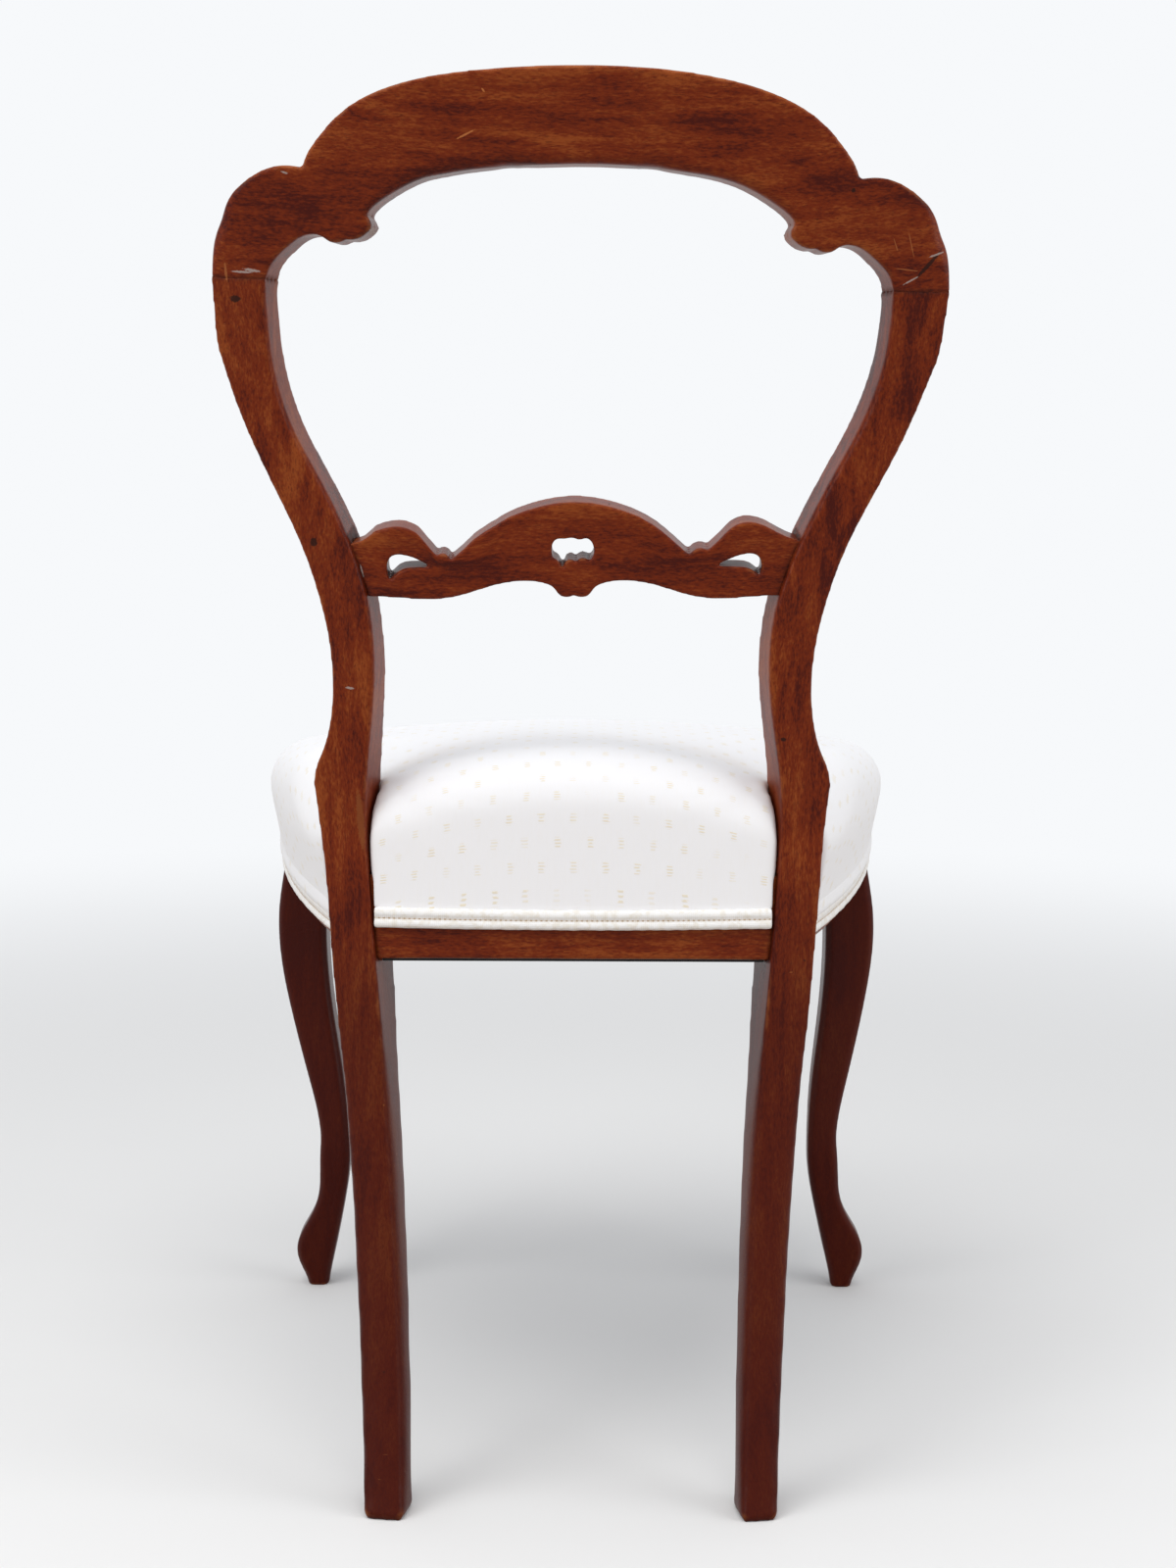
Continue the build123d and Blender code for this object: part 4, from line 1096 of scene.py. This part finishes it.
def stuffSeat(points, normals, form):
    # the rolled rear edge, pulled down at the posts, and the sides drawn in over the piping
    x, y, z = points.T
    across, forward = np.abs(x), backFace - y
    high = step(z, *form["wall"])
    rise, fall, halfWidth, power = form["roll"]
    roll = rise - fall * (across / halfWidth) ** power
    z += roll * high * (1 - step(forward, *form["rollEnds"]))
    depth, reach, halfWidth, fade = form["valley"]
    dip = np.exp(-(((forward - valleyOf(across, form)) / reach) ** 2))
    z -= depth * (dip * step(halfWidth - across, 0, fade)) * high

    flat = normals.copy()
    flat[:, 2] = 0
    ahead, aside = form["sides"]
    sides = np.maximum(step(forward, *ahead), step(across, *aside))
    low = 1 - step(z, *form["drawnBelow"])
    points -= flat * (form["drawnIn"] * low * sides)[:, None]
    height, more, deep = form["hem"]
    over = z - (height + more * (1 - sides))
    hem = (1 - step(over, 0.0, deep)) * step(over, -0.004, -0.001)
    drop, more = form["hemDrop"]
    z -= (drop + more * (1 - sides)) * hem

    place, start, height, reach = form["corner"]
    aside, ahead, up = across - place, forward - start, z - height
    apart = np.sqrt(aside**2 + ahead**2 + up**2)
    depth, number, slant, spread = form["folds"]
    angle = np.arctan2(up, ahead + spread)
    folds = np.sin(angle * number + across * slant) * np.exp(-apart / reach)
    points += normals * (depth * folds)[:, None]
    return points


def paintedShadeOf(points, gaps, form):
    # painted shade beside the posts, and in the cloth's hollow behind the rolled edge
    x, y, z = points.T
    share, reach, least = form["lined"]
    upper = step(z, *form["linedAbove"])
    lined = share * np.exp(-gaps / reach) * (least + (1 - least) * upper)
    least, more, start, end, reach, halfWidth = form["shaded"]
    ahead = backFace - y - valleyOf(x, form)
    ends = least + more * step(np.abs(x), start, end)
    shaded = ends * np.exp(-((ahead / reach) ** 2)) * step(halfWidth - np.abs(x), 0, 0.03)
    return np.maximum(lined, shaded * upper)


def makeSeat(form):
    piece = remesh(copyOf(["seat_cover", "seat_stuffing"], "seat_cover_cloth"), form["cell"])
    mesh = piece.data
    smooth(mesh, form["rounds"])
    points = readPoints(mesh)
    addField(mesh, "clothPlace", clothPlaceOf(points, form))
    gaps = distanceTo(points, posts, 0.03)
    writePoints(mesh, stuffSeat(points, readNormals(mesh), form))
    smooth(mesh, form["last"])
    # painted shade beside the posts and in the hollow
    addField(mesh, "paintedShade", paintedShadeOf(readPoints(mesh), gaps, form))
    shadeSmooth(mesh)
    mesh.materials.append(damask)
    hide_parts("seat_cover", "seat_stuffing")
    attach(piece, "root")
    print("seat made", len(mesh.vertices))


makeSeat(seatForm)


pipingForm = {
    "cell": 0.0009,
    "rounds": 3,
    "middle": 0.2,  # the middle of the front cord's round, forward of the back face
    "radius": 0.22,
    "sagHalf": 0.125,  # half the length that sags
    "lumps": (0.009, 5, 0.00018),  # size, seed and height
    # height of the line where the cords meet, and sag in the middle
    "cords": {"piping_front": (0.3615, 0.0), "piping_rear": (0.3755, 0.0016)},
}


def makePiping(name, meet, sag, form):
    piece = remesh(copyOf([name], name + "_cord"), form["cell"])
    mesh = piece.data
    smooth(mesh, form["rounds"])
    points = readPoints(mesh)
    x, y, z = points.T
    around = np.arctan2(x, backFace - form["middle"] - y)
    run = x if name.endswith("rear") else around * form["radius"]
    addField(mesh, "runPlace", np.stack([run, z, y], axis=1))
    addField(mesh, "crease", np.abs(z - meet))
    z -= sag * np.clip(1 - (x / form["sagHalf"]) ** 2, 0, 1)
    size, seed, height = form["lumps"]
    points += readNormals(mesh) * (ripple(points, size, seed) * height)[:, None]
    writePoints(mesh, points)
    shadeSmooth(mesh)
    mesh.materials.append(pipingCloth)
    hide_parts(name)
    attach(piece, "root")


for name, values in pipingForm["cords"].items():
    makePiping(name, *values, pipingForm)
print("piping made")


plainPieces = {
    # these stay as the CAD has them
    "beech": ["crest_dowels", "leg_dowels"]
    + [f"corner_block_{end}_{side}" for end in ("front", "rear") for side in ("left", "right")],
    "juteWebbing": ["webbing_front_to_back", "webbing_side_to_side"],
    "springWire": ["seat_springs"],
    "hessian": ["spring_hessian"],
    "blackLining": ["bottoming_cloth"],
}
for look, names in plainPieces.items():
    for name in names:
        nodes[name].data.materials.clear()
        nodes[name].data.materials.append(plains[look])


floorLook = {
    "pale": (0.8, 0.79, 0.78, 1),
    "bounce": (0.42, 0.36, 0.31, 1),  # what light that falls on it sends back up
    "dusty": (0.7, 0.7, 0.7, 1),
    "dust": (3.0, 2.0),  # scale and detail
    "dustShare": 0.1,
    "clear": (0.93, 0.945, 0.965, 1),
    "fade": (0.9, 2.4),  # metres from the chair
    "skin": {"Roughness": 0.7, "Specular IOR Level": 0.1},
    "half": 8,
}


def makeFloor(look):
    # pale near the chair, where it shows the shadow, and lost in the white room further out
    material, tree, skin = newMaterial("paleFloor", look["skin"])
    place = objectPlace(tree)
    seen = seenRays(tree)
    shade = blend(seen, look["bounce"], look["pale"])
    dust = times(noise(place, *look["dust"]), look["dustShare"])
    link(blend(dust, shade, look["dusty"]), skin["Base Color"])
    reach = put(tree, "VectorMath", {0: place}, operation="LENGTH").outputs["Value"]
    far = times(ramp(reach, *look["fade"]), seen)
    white = put(tree, "Emission", {"Color": look["clear"], "Strength": 1.0})
    output = next(node for node in tree.nodes if node.type == "OUTPUT_MATERIAL").inputs["Surface"]
    mix = put(tree, "MixShader", {0: far, 1: output.links[0].from_socket, 2: white.outputs[0]})
    link(mix.outputs[0], output)
    mesh = bpy.data.meshes.new("floor")
    half = look["half"]
    corners = [(x * half, y * half, 0) for x, y in ((-1, -1), (1, -1), (1, 1), (-1, 1))]
    mesh.from_pydata(corners, [], [(0, 1, 2, 3)])
    mesh.materials.append(material)
    addObject("floor", mesh)


makeFloor(floorLook)
makeWorld(worldLook)
for name, values in lightSettings.items():
    makeLight(name, *values)
makeCamera(cameraSettings)
bpy.context.scene.view_settings.view_transform = "Standard"

print("scene ready")
